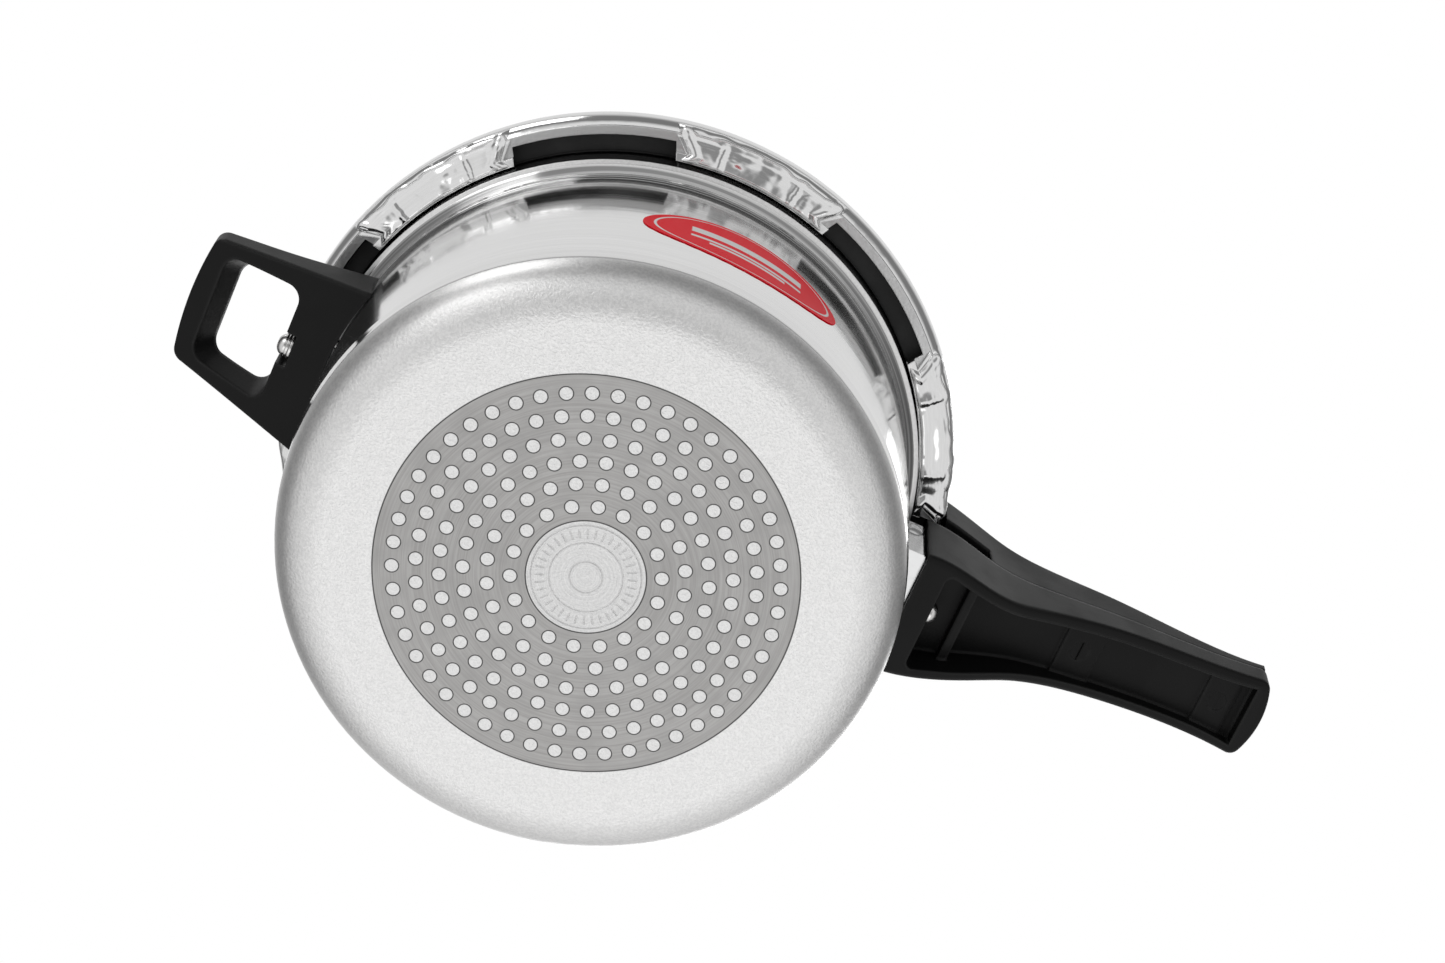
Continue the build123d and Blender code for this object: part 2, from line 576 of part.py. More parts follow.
# ---- lid: domed cover with a curled skirt and six lugs that hook under the flange ----------------
LIP_T = 2.6
RIBS = ((-8.6, 1.3), (-5.6, 0.9), (0, 0.5), (5.6, 0.9), (8.6, 1.3))     # angle on the lug, width
slot_mouth = lug_outline(112, 124.4, LID_SLOT_HALF - 1.0, LID_SLOT_HALF - 2.2)
slot_points = lug_outline(120.8, 135, LID_SLOT_HALF, LID_SLOT_HALF - 4.8)
with BuildPart() as lid:
    with BuildSketch(Plane.XZ):
        with BuildLine():
            # Outside, from the lip round the skirt and over the shoulder to the flat top of the dome
            Line((LIP_IN_R, 127.6), (126.4, 129.6))
            ThreePointArc((126.4, 129.6), (129.6, 132.4), (SKIRT_R, SKIRT_Z))
            ThreePointArc((SKIRT_R, SKIRT_Z), (128.4, 143.9), (SHOULDER_R, SHOULDER_Z))
            Line((SHOULDER_R, SHOULDER_Z), (DOME_R, SHOULDER_Z))
            ThreePointArc((DOME_R, SHOULDER_Z), (56, 160.6), (DOME_TOP_R, DOME_TOP_Z))
            Polyline((DOME_TOP_R, DOME_TOP_Z), (0, DOME_TOP_Z), (0, DOME_TOP_Z - LID_T),
                     (DOME_TOP_R, DOME_TOP_Z - LID_T))
            # Inside, back to the lip
            ThreePointArc((DOME_TOP_R, DOME_TOP_Z - LID_T), (55, 157.6), (DOME_R - 1, SHOULDER_Z - LID_T))
            Line((DOME_R - 1, SHOULDER_Z - LID_T), (SHOULDER_R, SHOULDER_Z - LID_T))
            ThreePointArc((SHOULDER_R, SHOULDER_Z - LID_T), (126.2, 141.8), (SKIRT_R - LID_T, SKIRT_Z))
            ThreePointArc((SKIRT_R - LID_T, SKIRT_Z), (127.1, 134.2), (125.2, 132.2))
            Polyline((125.2, 132.2), (LIP_IN_R, 127.6 + LIP_T), (LIP_IN_R, 127.6))
        make_face()
    revolve(axis=Axis.Z)

    # Slots with pointed ends leave the six lugs, and the skirt's cut edge shows above each slot
    with BuildSketch(Plane.XY.offset(120)):
        with PolarLocations(0, LUG_COUNT, start_angle=LUG_PHASE + 180 / LUG_COUNT):
            add(slot_mouth)
            add(slot_points)
    extrude(amount=SKIRT_EDGE_Z - 120, mode=Mode.SUBTRACT)
    with BuildSketch(Plane.XY.offset(SKIRT_EDGE_Z)):
        with PolarLocations(0, LUG_COUNT, start_angle=LUG_PHASE + 180 / LUG_COUNT):
            add(slot_mouth)
    extrude(amount=3.4, mode=Mode.SUBTRACT)

    # Pressing steps and fine ribs across each lug
    with BuildSketch(Plane.XY.offset(120)):
        for turn, width in RIBS:
            with PolarLocations(122.4, LUG_COUNT, start_angle=LUG_PHASE + turn):
                Rectangle(8.4, width)
    extrude(amount=9.1, mode=Mode.SUBTRACT)

    # Flat pad for the safety valve, dished underneath for its nut
    with BuildSketch(Plane.XY.offset(152)):
        with Locations(polar(VALVE_AT_R, VALVE_ANGLE)):
            Circle(11.5)
    extrude(amount=PAD_Z - 152)
    with BuildSketch(Plane.XY.offset(140)):
        with Locations(polar(VALVE_AT_R, VALVE_ANGLE)):
            Circle(8.8)
    extrude(amount=PAD_Z - LID_T - 140, mode=Mode.SUBTRACT)

    # Holes for the vent tube, the safety valve, the bracket rivets and the gasket release window
    with Locations((0, 0, DOME_TOP_Z), polar(VALVE_AT_R, VALVE_ANGLE, PAD_Z)):
        Hole(FITTING_R + PRESS_GAP, depth=LID_T + 1)
    with Locations(*[(LID_RIVET_X, side * LID_RIVET_Y, SHOULDER_Z) for side in (-1, 1)]):
        Hole(RIVET_R + PRESS_GAP, depth=LID_T + 1)
    with BuildSketch(radial_plane(120, -72.5, 143.0)):
        Ellipse(1.4, 2.6)
    extrude(amount=15, mode=Mode.SUBTRACT)
finish(lid, "lid")

# ---- lid_gasket: rubber ring with two lips, carried inside the lid -------------------------------
with BuildPart() as lid_gasket:
    with BuildSketch(Plane.XZ):
        Polygon((113.9, 135.75), (123.6, 135.75), (124.3, 139.6), (122.2, 143.5), (113.9, 143.5),
                (113.9, 142.0), (119.5, 141.0), (119.5, 138.4), (113.9, 137.4), align=None)
    revolve(axis=Axis.Z)
finish(lid_gasket, "lid_gasket")

# ---- lid bracket: flat strap riveted to the lid and screwed into the lid handle ------------------
STRAP_T = 2.0
STRAP_HALF_Y = 15.0
STRAP_X = (90.0, 150.0)
STRAP_SCREW_X, STRAP_SCREW_Y = 140.0, 8.5
with BuildPart() as lid_bracket:
    with BuildSketch(Plane.XY.offset(SHOULDER_Z)):
        with Locations((sum(STRAP_X) / 2, 0)):
            RectangleRounded(STRAP_X[1] - STRAP_X[0], 2 * STRAP_HALF_Y, 3.0)
    extrude(amount=STRAP_T)
    with Locations(*[(LID_RIVET_X, side * LID_RIVET_Y, SHOULDER_Z + STRAP_T) for side in (-1, 1)]):
        Hole(RIVET_R + PRESS_GAP, depth=STRAP_T)
    with Locations(*[(STRAP_SCREW_X, side * STRAP_SCREW_Y, SHOULDER_Z + STRAP_T) for side in (-1, 1)]):
        Hole(M4_R + PRESS_GAP, depth=STRAP_T)
finish(lid_bracket, "lid_bracket")

with BuildPart() as lid_bracket_rivets:
    for side in (-1, 1):
        add(Pos(LID_RIVET_X, side * LID_RIVET_Y) * rivet(SHOULDER_Z - LID_T, SHOULDER_Z + STRAP_T))
finish(lid_bracket_rivets, "lid_bracket_rivets")

# ---- lid_handle: moulded handle that lies over the body handle when the lid is locked ------------
LID_HANDLE_X = 104.0
RECESS_Z = 133.0            # roof of the recess between the two handles
RECESS_END_X = 151.0
SKIRT_CLEAR_R = 131.8
with BuildPart() as lid_handle:
    with BuildSketch(Plane.XZ):
        with BuildLine():
            low = Spline(*[(x, z + HANDLE_GAP) for x, z in body_top(RECESS_END_X, HANDLE_END_X + 3)[2:]])
            top = Spline((LID_HANDLE_X, 155.2), (132, 154.8), (156, 153.2), (184, 153.4), (206, 153.0),
                         (232, 149.4), (256, 145.2), (HANDLE_END_X + 3, 142.6))
            Line(low @ 1, top @ 1)
            Polyline(low @ 0, (RECESS_END_X - 1, RECESS_Z), (120, RECESS_Z), (120, SHOULDER_Z + 0.4),
                     (LID_HANDLE_X, SHOULDER_Z + 0.4), top @ 0)
        make_face()
    extrude(amount=40, both=True)
    with BuildSketch(Plane.XY):
        add(handle_plan(0.6, LID_HANDLE_X, HANDLE_END_X - 4.6, 4))
    extrude(amount=200, mode=Mode.INTERSECT)
    crown = lid_handle.faces().filter_by(lambda f: f.normal_at().Z > 0.5).edges()
    fillet(crown.filter_by_position(Axis.X, LID_HANDLE_X + 1, 400), 3.6)
    # Clear the lid's skirt
    with BuildSketch(Plane.XY.offset(100)):
        Circle(SKIRT_CLEAR_R)
    extrude(amount=SHOULDER_Z + 0.4 - 100, mode=Mode.SUBTRACT)
    # Slot for the bracket, and blind holes for the two screws
    with BuildSketch(Plane.XY.offset(SHOULDER_Z)):
        with Locations(((LID_HANDLE_X + STRAP_X[1]) / 2, 0)):
            Rectangle(STRAP_X[1] - LID_HANDLE_X + 0.4, 2 * STRAP_HALF_Y + 0.4)
    extrude(amount=STRAP_T + 0.1, mode=Mode.SUBTRACT)
    for side in (-1, 1):
        with BuildSketch(Plane.XY.offset(RECESS_Z)):
            with Locations((STRAP_SCREW_X, side * STRAP_SCREW_Y)):
                Circle(M4_R + CLEARANCE)
        extrude(amount=18, mode=Mode.SUBTRACT)
finish(lid_handle, "lid_handle")

with BuildPart() as lid_handle_screws:
    for side in (-1, 1):
        place = (STRAP_SCREW_X, side * STRAP_SCREW_Y, RECESS_Z)
        downward = Plane(origin=place, x_dir=(1, 0, 0), z_dir=(0, 0, -1))
        add(downward * dome_screw(M4_R - PRESS_GAP, 17.0, 3.8, 2.8))
finish(lid_handle_screws, "lid_handle_screws")

# ---- vent tube at the centre of the lid, with its seal and nut -----------------------------------
HEX_HALF = 7.0              # half across flats of the fittings' heads
SEAL_T = 1.0
HEAD_T = 5.0
NUT_T = 4.0


def fitting(seat_z, top_profile, shank_end_z, bore_r):
    """A bored lid fitting on Z: hexagon head on the seal, threaded shank below, turned top above."""
    with BuildPart(mode=Mode.PRIVATE) as body:
        with BuildSketch(Plane.XY.offset(seat_z)):
            RegularPolygon(HEX_HALF, 6, major_radius=False)
        extrude(amount=HEAD_T)
        with BuildSketch(Plane.XZ):
            Polygon((0, shank_end_z), (FITTING_R - 0.6, shank_end_z), (FITTING_R, shank_end_z + 0.6),
                    (FITTING_R, seat_z + 0.5), (3, seat_z + 1), *top_profile, (0, top_profile[-1][1]),
                    align=None)
        revolve(axis=Axis.Z)
        with BuildSketch(Plane.XY.offset(shank_end_z)):
            Circle(bore_r)
        extrude(amount=100, mode=Mode.SUBTRACT)
    return body.part


with BuildPart() as vent_washer:
    add(Pos(0, 0, DOME_TOP_Z) * washer(FITTING_R + PRESS_GAP, 8.2, SEAL_T))
finish(vent_washer, "vent_washer")

vent_seat = DOME_TOP_Z + SEAL_T
with BuildPart() as vent_tube:
    add(fitting(vent_seat, [(VENT_R, vent_seat + HEAD_T), (VENT_R, VENT_TOP_Z - 4), (2.6, VENT_TOP_Z)],
                DOME_TOP_Z - LID_T - NUT_T - 4, VENT_BORE_R))
finish(vent_tube, "vent_tube")

with BuildPart() as vent_nut:
    add(Pos(0, 0, DOME_TOP_Z - LID_T - NUT_T) * hex_nut(14.0, FITTING_R + PRESS_GAP, NUT_T, 0.5))
finish(vent_nut, "vent_nut")

# ---- safety valve with a fusible plug, on its own pad --------------------------------------------
VALVE_PLACE = Pos(*polar(VALVE_AT_R, VALVE_ANGLE))
VALVE_BORE_R = 2.4
with BuildPart() as valve_washer:
    add(VALVE_PLACE * (Pos(0, 0, PAD_Z) * washer(FITTING_R + PRESS_GAP, 8.2, SEAL_T)))
finish(valve_washer, "valve_washer")

valve_seat = PAD_Z + SEAL_T
valve_top = [(5.6, valve_seat + HEAD_T), (5.6, valve_seat + 7.4), (4.8, valve_seat + 8.2)]
with BuildPart() as safety_valve:
    add(VALVE_PLACE * fitting(valve_seat, valve_top, PAD_Z - LID_T - NUT_T - 2, VALVE_BORE_R))
finish(safety_valve, "safety_valve")

with BuildPart() as valve_nut:
    add(VALVE_PLACE * (Pos(0, 0, PAD_Z - LID_T - NUT_T) * hex_nut(14.0, FITTING_R + PRESS_GAP, NUT_T, 0.5)))
finish(valve_nut, "valve_nut")

with BuildPart() as fusible_plug:
    with BuildSketch(Plane.XZ):
        Polygon((0, valve_seat - 6), (VALVE_BORE_R - PRESS_GAP, valve_seat - 6),
                (VALVE_BORE_R - PRESS_GAP, valve_seat + 8), (1.6, valve_seat + 8.8), (0, valve_seat + 9),
                align=None)
    revolve(axis=Axis.Z)
fusible_plug.part = VALVE_PLACE * fusible_plug.part
finish(fusible_plug, "fusible_plug")

# ---- pressure regulator: sprung sleeve on the vent tube, weight, needle and knob -----------------
SLEEVE_R = 6.4
SLEEVE_Z = (178.0, 203.0)
WEIGHT_R = 15.0
WEIGHT_Z = (180.0, 209.0)
WEIGHT_BORE_R = 9.0
WEIGHT_ROOF_Z = 204.0
NEEDLE_R = 1.3
NEEDLE_TOP_Z = WEIGHT_Z[1] + 6
with BuildPart() as regulator_sleeve:
    with BuildSketch(Plane.XZ):
        Polygon((VENT_R + REGULATOR_GAP, SLEEVE_Z[0]), (SLEEVE_R - 0.8, SLEEVE_Z[0]),
                (SLEEVE_R, SLEEVE_Z[0] + 1.4), (SLEEVE_R, SLEEVE_Z[1] - 3), (8.2, SLEEVE_Z[1] - 3),
                (8.2, SLEEVE_Z[1]), (2.0, SLEEVE_Z[1]), (2.0, VENT_TOP_Z + 1.0),
                (VENT_R + REGULATOR_GAP, VENT_TOP_Z - 2.0), align=None)
    revolve(axis=Axis.Z)
    # Four slits make the sprung fingers that grip the tube
    with BuildSketch(Plane.XY.offset(SLEEVE_Z[0])):
        Rectangle(2 * SLEEVE_R + 2, 1.2)
        Rectangle(1.2, 2 * SLEEVE_R + 2)
    extrude(amount=13, mode=Mode.SUBTRACT)
finish(regulator_sleeve, "regulator_sleeve")

with BuildPart() as regulator_weight:
    with BuildSketch(Plane.XZ):
        with BuildLine():
            Polyline((WEIGHT_BORE_R, WEIGHT_Z[0]), (WEIGHT_R - 1, WEIGHT_Z[0]), (WEIGHT_R, WEIGHT_Z[0] + 1),
                     (WEIGHT_R, 190.0), (WEIGHT_R - 0.8, 190.8), (WEIGHT_R - 0.8, 192.6), (WEIGHT_R, 193.4),
                     (WEIGHT_R, 205.0))
            ThreePointArc((WEIGHT_R, 205.0), (13.8, 207.8), (11.0, WEIGHT_Z[1]))
            Polyline((11.0, WEIGHT_Z[1]), (4.0, WEIGHT_Z[1]), (4.0, NEEDLE_TOP_Z),
                     (NEEDLE_R + PRESS_GAP, NEEDLE_TOP_Z), (NEEDLE_R + PRESS_GAP, WEIGHT_ROOF_Z),
                     (WEIGHT_BORE_R, WEIGHT_ROOF_Z), (WEIGHT_BORE_R, WEIGHT_Z[0]))
        make_face()
    revolve(axis=Axis.Z)
    # Steam ports round the top of the bore
    with BuildSketch(Plane.XY.offset(198.0)):
        with PolarLocations(WEIGHT_R - 3, 4, start_angle=45):
            Rectangle(9, 3.0)
    extrude(amount=2.4, mode=Mode.SUBTRACT)
finish(regulator_weight, "regulator_weight")

with BuildPart() as regulator_needle:
    with BuildSketch(Plane.XZ):
        Polygon((0, VENT_TOP_Z + 0.2), (0.4, VENT_TOP_Z + 0.4), (NEEDLE_R, VENT_TOP_Z + 2.6),
                (NEEDLE_R, NEEDLE_TOP_Z), (0, NEEDLE_TOP_Z), align=None)
    revolve(axis=Axis.Z)
finish(regulator_needle, "regulator_needle")

knob_z = WEIGHT_Z[1] + 0.2
with BuildPart() as regulator_knob:
    with BuildSketch(Plane.XZ):
        with BuildLine():
            Polyline((0, knob_z + 6), (4.2, knob_z + 6), (4.2, knob_z), (11.6, knob_z), (13.2, knob_z + 1.8),
                     (13.6, knob_z + 8.8))
            ThreePointArc((13.6, knob_z + 8.8), (12.0, knob_z + 12), (8.0, knob_z + 13))
            Polyline((8.0, knob_z + 13), (0, knob_z + 13), (0, knob_z + 6))
        make_face()
    revolve(axis=Axis.Z)
    with BuildSketch(Plane.XY.offset(knob_z + 2.2)):
        with PolarLocations(15.2, 12):
            Circle(2.4)
    extrude(amount=20, mode=Mode.SUBTRACT)
finish(regulator_knob, "regulator_knob")
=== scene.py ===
# %% [markdown]
# # Stovetop pressure cooker
# The cooker is a pressed aluminium pot with a steel induction disc in its underside, a lid with six
# inward lugs, two long bakelite handles and a short loop handle. The CAD frame already holds every
# shape at its real size, so this lesson gives each piece its finish, adds the fine pressed marks that
# are too small for the frame, and lights the whole as a cut-out on a pale ground.

# %% The frame
from math import cos, exp, radians, sin

import bmesh
import bpy
from mathutils import Matrix, Vector, noise


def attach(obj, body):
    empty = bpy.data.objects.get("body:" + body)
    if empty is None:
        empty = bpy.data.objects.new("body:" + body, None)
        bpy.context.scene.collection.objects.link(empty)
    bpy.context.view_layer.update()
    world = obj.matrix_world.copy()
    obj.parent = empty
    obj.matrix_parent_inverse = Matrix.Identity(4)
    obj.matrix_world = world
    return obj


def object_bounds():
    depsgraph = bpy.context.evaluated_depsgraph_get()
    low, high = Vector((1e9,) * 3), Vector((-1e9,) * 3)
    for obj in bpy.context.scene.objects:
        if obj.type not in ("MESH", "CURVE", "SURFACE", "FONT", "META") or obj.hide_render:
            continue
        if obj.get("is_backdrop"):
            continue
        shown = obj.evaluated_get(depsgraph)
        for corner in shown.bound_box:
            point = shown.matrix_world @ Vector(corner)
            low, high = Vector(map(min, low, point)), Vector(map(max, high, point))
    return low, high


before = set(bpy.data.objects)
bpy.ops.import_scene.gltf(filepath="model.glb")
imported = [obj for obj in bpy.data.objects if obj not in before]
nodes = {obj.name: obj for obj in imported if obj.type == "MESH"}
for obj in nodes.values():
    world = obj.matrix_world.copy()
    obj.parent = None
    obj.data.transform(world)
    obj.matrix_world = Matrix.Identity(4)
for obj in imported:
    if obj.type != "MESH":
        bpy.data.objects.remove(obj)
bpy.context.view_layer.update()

# %% [markdown]
# ## Camera
# The cooker is looked at from below and a little to the side, so that the underside faces the lens and
# the wall falls away behind it. A long lens from about 1.2 m keeps the perspective gentle. The camera's
# axes are written as the columns of a rotation rather than as three angles, because that says exactly
# how the picture is rolled.

# %% Camera
FOCAL_MM, SENSOR_MM = 83.29, 36.0
CAMERA_AT = (-0.0870, -0.4493, -1.0740)
CAMERA_RIGHT = (0.9181, -0.3936, 0.0459)
CAMERA_UP = (-0.3831, -0.8521, 0.3564)

lens = bpy.data.cameras.new("studio_camera")
lens.lens, lens.sensor_width, lens.sensor_fit = FOCAL_MM, SENSOR_MM, "HORIZONTAL"
lens.clip_start, lens.clip_end = 0.05, 20.0
camera = bpy.data.objects.new("studio_camera", lens)
bpy.context.scene.collection.objects.link(camera)
camera_back = Vector(CAMERA_RIGHT).cross(Vector(CAMERA_UP))
turn = Matrix((CAMERA_RIGHT, CAMERA_UP, camera_back)).transposed().to_4x4()
camera.matrix_world = Matrix.Translation(CAMERA_AT) @ turn
bpy.context.scene.camera = camera
print("camera at", CAMERA_AT, "with a", FOCAL_MM, "mm lens")

# %% [markdown]
# ## Node helpers
# Every finish below is a small graph of nodes. It could be drawn by hand in the shader editor, or each
# node and link could be made by its own lines. These helpers make a node, set or join its sockets and
# hand the output back instead, so that a finish reads from top to bottom like a recipe.

# %% Node helpers
def node(tree, kind, **settings):
    """A new node with its settings."""
    made = tree.nodes.new(kind)
    for name, value in settings.items():
        setattr(made, name, value)
    return made


def feed(tree, socket, value):
    """Join an output to a socket, or set the socket's own value."""
    if isinstance(value, bpy.types.NodeSocket):
        tree.links.new(value, socket)
    else:
        socket.default_value = value


def calc(tree, operation, *values):
    """One step of arithmetic."""
    made = node(tree, "ShaderNodeMath", operation=operation)
    for socket, value in zip(made.inputs, values):
        feed(tree, socket, value)
    return made.outputs[0]


def fade(tree, value, low, high, out_low=0.0, out_high=1.0):
    """A smooth ramp from out_low at low to out_high at high."""
    made = node(tree, "ShaderNodeMapRange", interpolation_type="SMOOTHSTEP")
    for socket, setting in zip(made.inputs, (value, low, high, out_low, out_high)):
        feed(tree, socket, setting)
    return made.outputs[0]


def band(tree, value, centre, half, soft):
    """1 within half of the centre, 0 beyond half plus soft."""
    away = calc(tree, "ABSOLUTE", calc(tree, "SUBTRACT", value, centre))
    return fade(tree, away, half + soft, half)


def blend_colour(tree, share, first, second):
    """Two colours mixed by a share."""
    made = node(tree, "ShaderNodeMix", data_type="RGBA")
    for name, value in (("Factor_Float", share), ("A_Color", first), ("B_Color", second)):
        feed(tree, next(s for s in made.inputs if s.identifier == name), value)
    return next(s for s in made.outputs if s.identifier == "Result_Color")


def speckle(tree, vector, scale, detail=2.0, rough=0.5, w=None):
    """Noise from 0 to 1 at a scale in cells per metre."""
    made = node(tree, "ShaderNodeTexNoise", noise_dimensions="3D" if w is None else "4D")
    for name, value in (("Vector", vector), ("Scale", scale), ("Detail", detail), ("Roughness", rough)):
        feed(tree, made.inputs[name], value)
    if w is not None:
        feed(tree, made.inputs["W"], w)
    return made.outputs[0]


def split(tree, vector):
    """The x, y and z of a vector."""
    made = node(tree, "ShaderNodeSeparateXYZ")
    feed(tree, made.inputs[0], vector)
    return made.outputs


def here(tree):
    """Where a point is on its piece, in metres: the frame's own place with the joints at rest."""
    return node(tree, "ShaderNodeTexCoord").outputs["Object"]


def grey(level, warm=0.0):
    """A neutral colour, a little warmer or cooler."""
    return (level + warm, level, level - warm, 1.0)


print("node helpers ready")

# %% [markdown]
# ## Shared effects
# Spun lines, blasted grain, edges (worn on metal, with a painted highlight on bakelite), handling marks and
# the moulded skin of bakelite each turn up on more than one piece. Each is a node group with named inputs,
# built once. A group gives only masks, heights and normals, and each material decides what to do with them.

# %% Group frame
def new_group(name, inputs, outputs):
    """An empty shader group with its own input and output nodes."""
    group = bpy.data.node_groups.new(name, "ShaderNodeTree")
    for label, value in inputs.items():
        socket = group.interface.new_socket(name=label, in_out="INPUT", socket_type="NodeSocketFloat")
        socket.default_value = value
    for label in outputs:
        kind = "NodeSocketVector" if label == "Normal" else "NodeSocketFloat"
        group.interface.new_socket(name=label, in_out="OUTPUT", socket_type=kind)
    return group, node(group, "NodeGroupInput").outputs, node(group, "NodeGroupOutput").inputs


def use(tree, group, **values):
    """Place a group in a material and return its outputs."""
    made = node(tree, "ShaderNodeGroup", node_tree=group)
    for label, value in values.items():
        feed(tree, made.inputs[label.replace("_", " ")], value)
    return made.outputs


print("groups can be made")

# %% [markdown]
# ### Where on the turned shape
# The pot and lid are turned about the vertical axis, so most finishes follow the radius, the height and
# the angle. An unwrapped surface could carry them, but the frame's pieces have none, and a formula has
# no seams. Object coordinates are metres in the frame, and they move with a piece.

# %% Round place
ROUND_OUTPUTS = ("Radius", "Height", "Angle", "Facing Out", "Facing Up")
round_place, ins, outs = new_group("round_place", {}, ROUND_OUTPUTS)
spot = node(round_place, "ShaderNodeTexCoord").outputs
x, y, z = split(round_place, spot["Object"])
nx, ny, nz = split(round_place, spot["Normal"])
squares = calc(round_place, "MULTIPLY_ADD", x, x, calc(round_place, "MULTIPLY", y, y))
radius = calc(round_place, "SQRT", squares)
outward = calc(round_place, "MULTIPLY_ADD", x, nx, calc(round_place, "MULTIPLY", y, ny))
feed(round_place, outs["Radius"], radius)
feed(round_place, outs["Height"], z)
feed(round_place, outs["Angle"], calc(round_place, "DEGREES", calc(round_place, "ARCTAN2", y, x)))
feed(round_place, outs["Facing Out"], calc(round_place, "DIVIDE", outward, radius))
feed(round_place, outs["Facing Up"], nz)
print("round_place gives", ", ".join(ROUND_OUTPUTS))

# %% [markdown]
# ### Spun lines
# A buffing wheel leaves fine lines round the axis. Four-dimensional noise does this without a seam: it
# changes fast with radius and height and slowly along the circle.

# %% Spun lines
spun_lines, ins, outs = new_group("spun_lines", {"Density": 1500.0, "Streak": 9.0}, ("Lines",))
place = use(spun_lines, round_place)
x, y, z = split(spun_lines, here(spun_lines))
across = node(spun_lines, "ShaderNodeCombineXYZ")
feed(spun_lines, across.inputs[0], calc(spun_lines, "MULTIPLY", x, ins["Streak"]))
feed(spun_lines, across.inputs[1], calc(spun_lines, "MULTIPLY", y, ins["Streak"]))
feed(spun_lines, across.inputs[2], calc(spun_lines, "MULTIPLY", z, ins["Density"]))
outward = calc(spun_lines, "MULTIPLY", place["Radius"], ins["Density"])
feed(spun_lines, outs["Lines"], speckle(spun_lines, across.outputs[0], 1.0, 3.0, 0.6, outward))
print("spun_lines made")

# %% [markdown]
# ### Blasted grain
# Blasted aluminium is covered in tiny dents of mixed size. Real dents would need millions of faces, so
# they are left to noise: a fine layer with a little of a coarser one gives the dents, and a broad one
# the faint cloudiness between them.

# %% Blasted grain
blasted_grain, ins, outs = new_group("blasted_grain", {"Scale": 900.0}, ("Dents", "Cloud"))
spot = here(blasted_grain)
fine = speckle(blasted_grain, spot, ins["Scale"], 3.0, 0.65)
coarse = speckle(blasted_grain, spot, calc(blasted_grain, "MULTIPLY", ins["Scale"], 0.3), 2.0)
feed(blasted_grain, outs["Dents"], calc(blasted_grain, "MULTIPLY_ADD", coarse, 0.25, fine))
feed(blasted_grain, outs["Cloud"], speckle(blasted_grain, spot, 26.0, 4.0, 0.6))
print("blasted_grain made")

# %% [markdown]
# ### Eased edges
# No pressed or moulded edge is truly sharp. A Bevel modifier would cut new faces into the mesh. The
# bevel normal rounds an edge for the light only, and where that normal leaves the flat one there is an
# edge. That is where hands and cloths rub on metal, and where the bakelite gets a painted highlight.

# %% Eased edges
eased_edges, ins, outs = new_group("eased_edges", {"Radius": 0.0004}, ("Edge", "Normal"))
rounded = node(eased_edges, "ShaderNodeBevel", samples=4)
feed(eased_edges, rounded.inputs["Radius"], ins["Radius"])
flat = node(eased_edges, "ShaderNodeNewGeometry")
turned = node(eased_edges, "ShaderNodeVectorMath", operation="DOT_PRODUCT")
feed(eased_edges, turned.inputs[0], rounded.outputs[0])
feed(eased_edges, turned.inputs[1], flat.outputs["Normal"])
feed(eased_edges, outs["Edge"], fade(eased_edges, turned.outputs["Value"], 0.985, 0.80))
feed(eased_edges, outs["Normal"], rounded.outputs[0])
print("eased_edges made")

# %% [markdown]
# ### Handling marks
# Wiping and stacking leave patches where a surface is a little duller. Broad noise gives them, cut by a
# smooth ramp, so that most of the surface stays clean. Their size is the group's only input.

# %% Handling marks
handling_marks, ins, outs = new_group("handling_marks", {"Scale": 30.0}, ("Smudge",))
patches = speckle(handling_marks, here(handling_marks), ins["Scale"], 4.0)
feed(handling_marks, outs["Smudge"], fade(handling_marks, patches, 0.4, 0.7))
print("handling_marks made")

# %% [markdown]
# ### Moulded skin
# Bakelite comes out of its steel mould with a very fine pebble, and faint flow marks where the resin
# ran. Rounded cells with a finer noise on top make the pebble, and broad noise makes the flow.

# %% Moulded skin
moulded_skin, ins, outs = new_group("moulded_skin", {"Scale": 1500.0}, ("Pebble", "Flow"))
spot = here(moulded_skin)
cells = node(moulded_skin, "ShaderNodeTexVoronoi", feature="SMOOTH_F1")
feed(moulded_skin, cells.inputs["Vector"], spot)
feed(moulded_skin, cells.inputs["Scale"], ins["Scale"])
pores = speckle(moulded_skin, spot, 2600.0)
feed(moulded_skin, outs["Pebble"], calc(moulded_skin, "ADD", cells.outputs["Distance"], pores))
feed(moulded_skin, outs["Flow"], speckle(moulded_skin, spot, 34.0, 5.0, 0.62))
print("moulded_skin made")

# %% [markdown]
# ## A finish and where it goes
# A finish is one material with a Principled shader. What is the same all over stays as a number on the
# shader's own sockets, where an export can read it, and only what varies is fed by nodes.

# %% Finish helpers
def new_finish(name, **constants):
    """A material, its tree and its shader."""
    finish = bpy.data.materials.new(name)
    finish.use_nodes = True
    tree = finish.node_tree
    shader = tree.nodes["Principled BSDF"]
    for label, value in constants.items():
        shader.inputs[label.replace("_", " ")].default_value = value
    return finish, tree, shader.inputs


def relief(tree, height, distance, strength=1.0, normal=None):
    """A bump of a real depth in metres, on top of another normal where there is one."""
    made = node(tree, "ShaderNodeBump")
    feed(tree, made.inputs["Height"], height)
    made.inputs["Distance"].default_value = distance
    made.inputs["Strength"].default_value = strength
    if normal is not None:
        feed(tree, made.inputs["Normal"], normal)
    return made.outputs[0]


def coat_with(finish, *names):
    """Give a finish to the frame's nodes by name."""
    for name in names:
        piece = nodes[name]
        piece.data.materials.clear()
        piece.data.materials.append(finish)
    print(finish.name, "on", ", ".join(names))


print("finishes can be made")

# %% [markdown]
# ## Rings of dots
# The induction disc has six rings of round holes, and the pot's aluminium fills each of them. The holes
# are real in the frame, but the thin dark joint round each is finer than any face. One group measures
# how far a point is from the nearest dot of a ring: it folds the angle into one sector, and takes the
# distance to the dot in the middle of it.

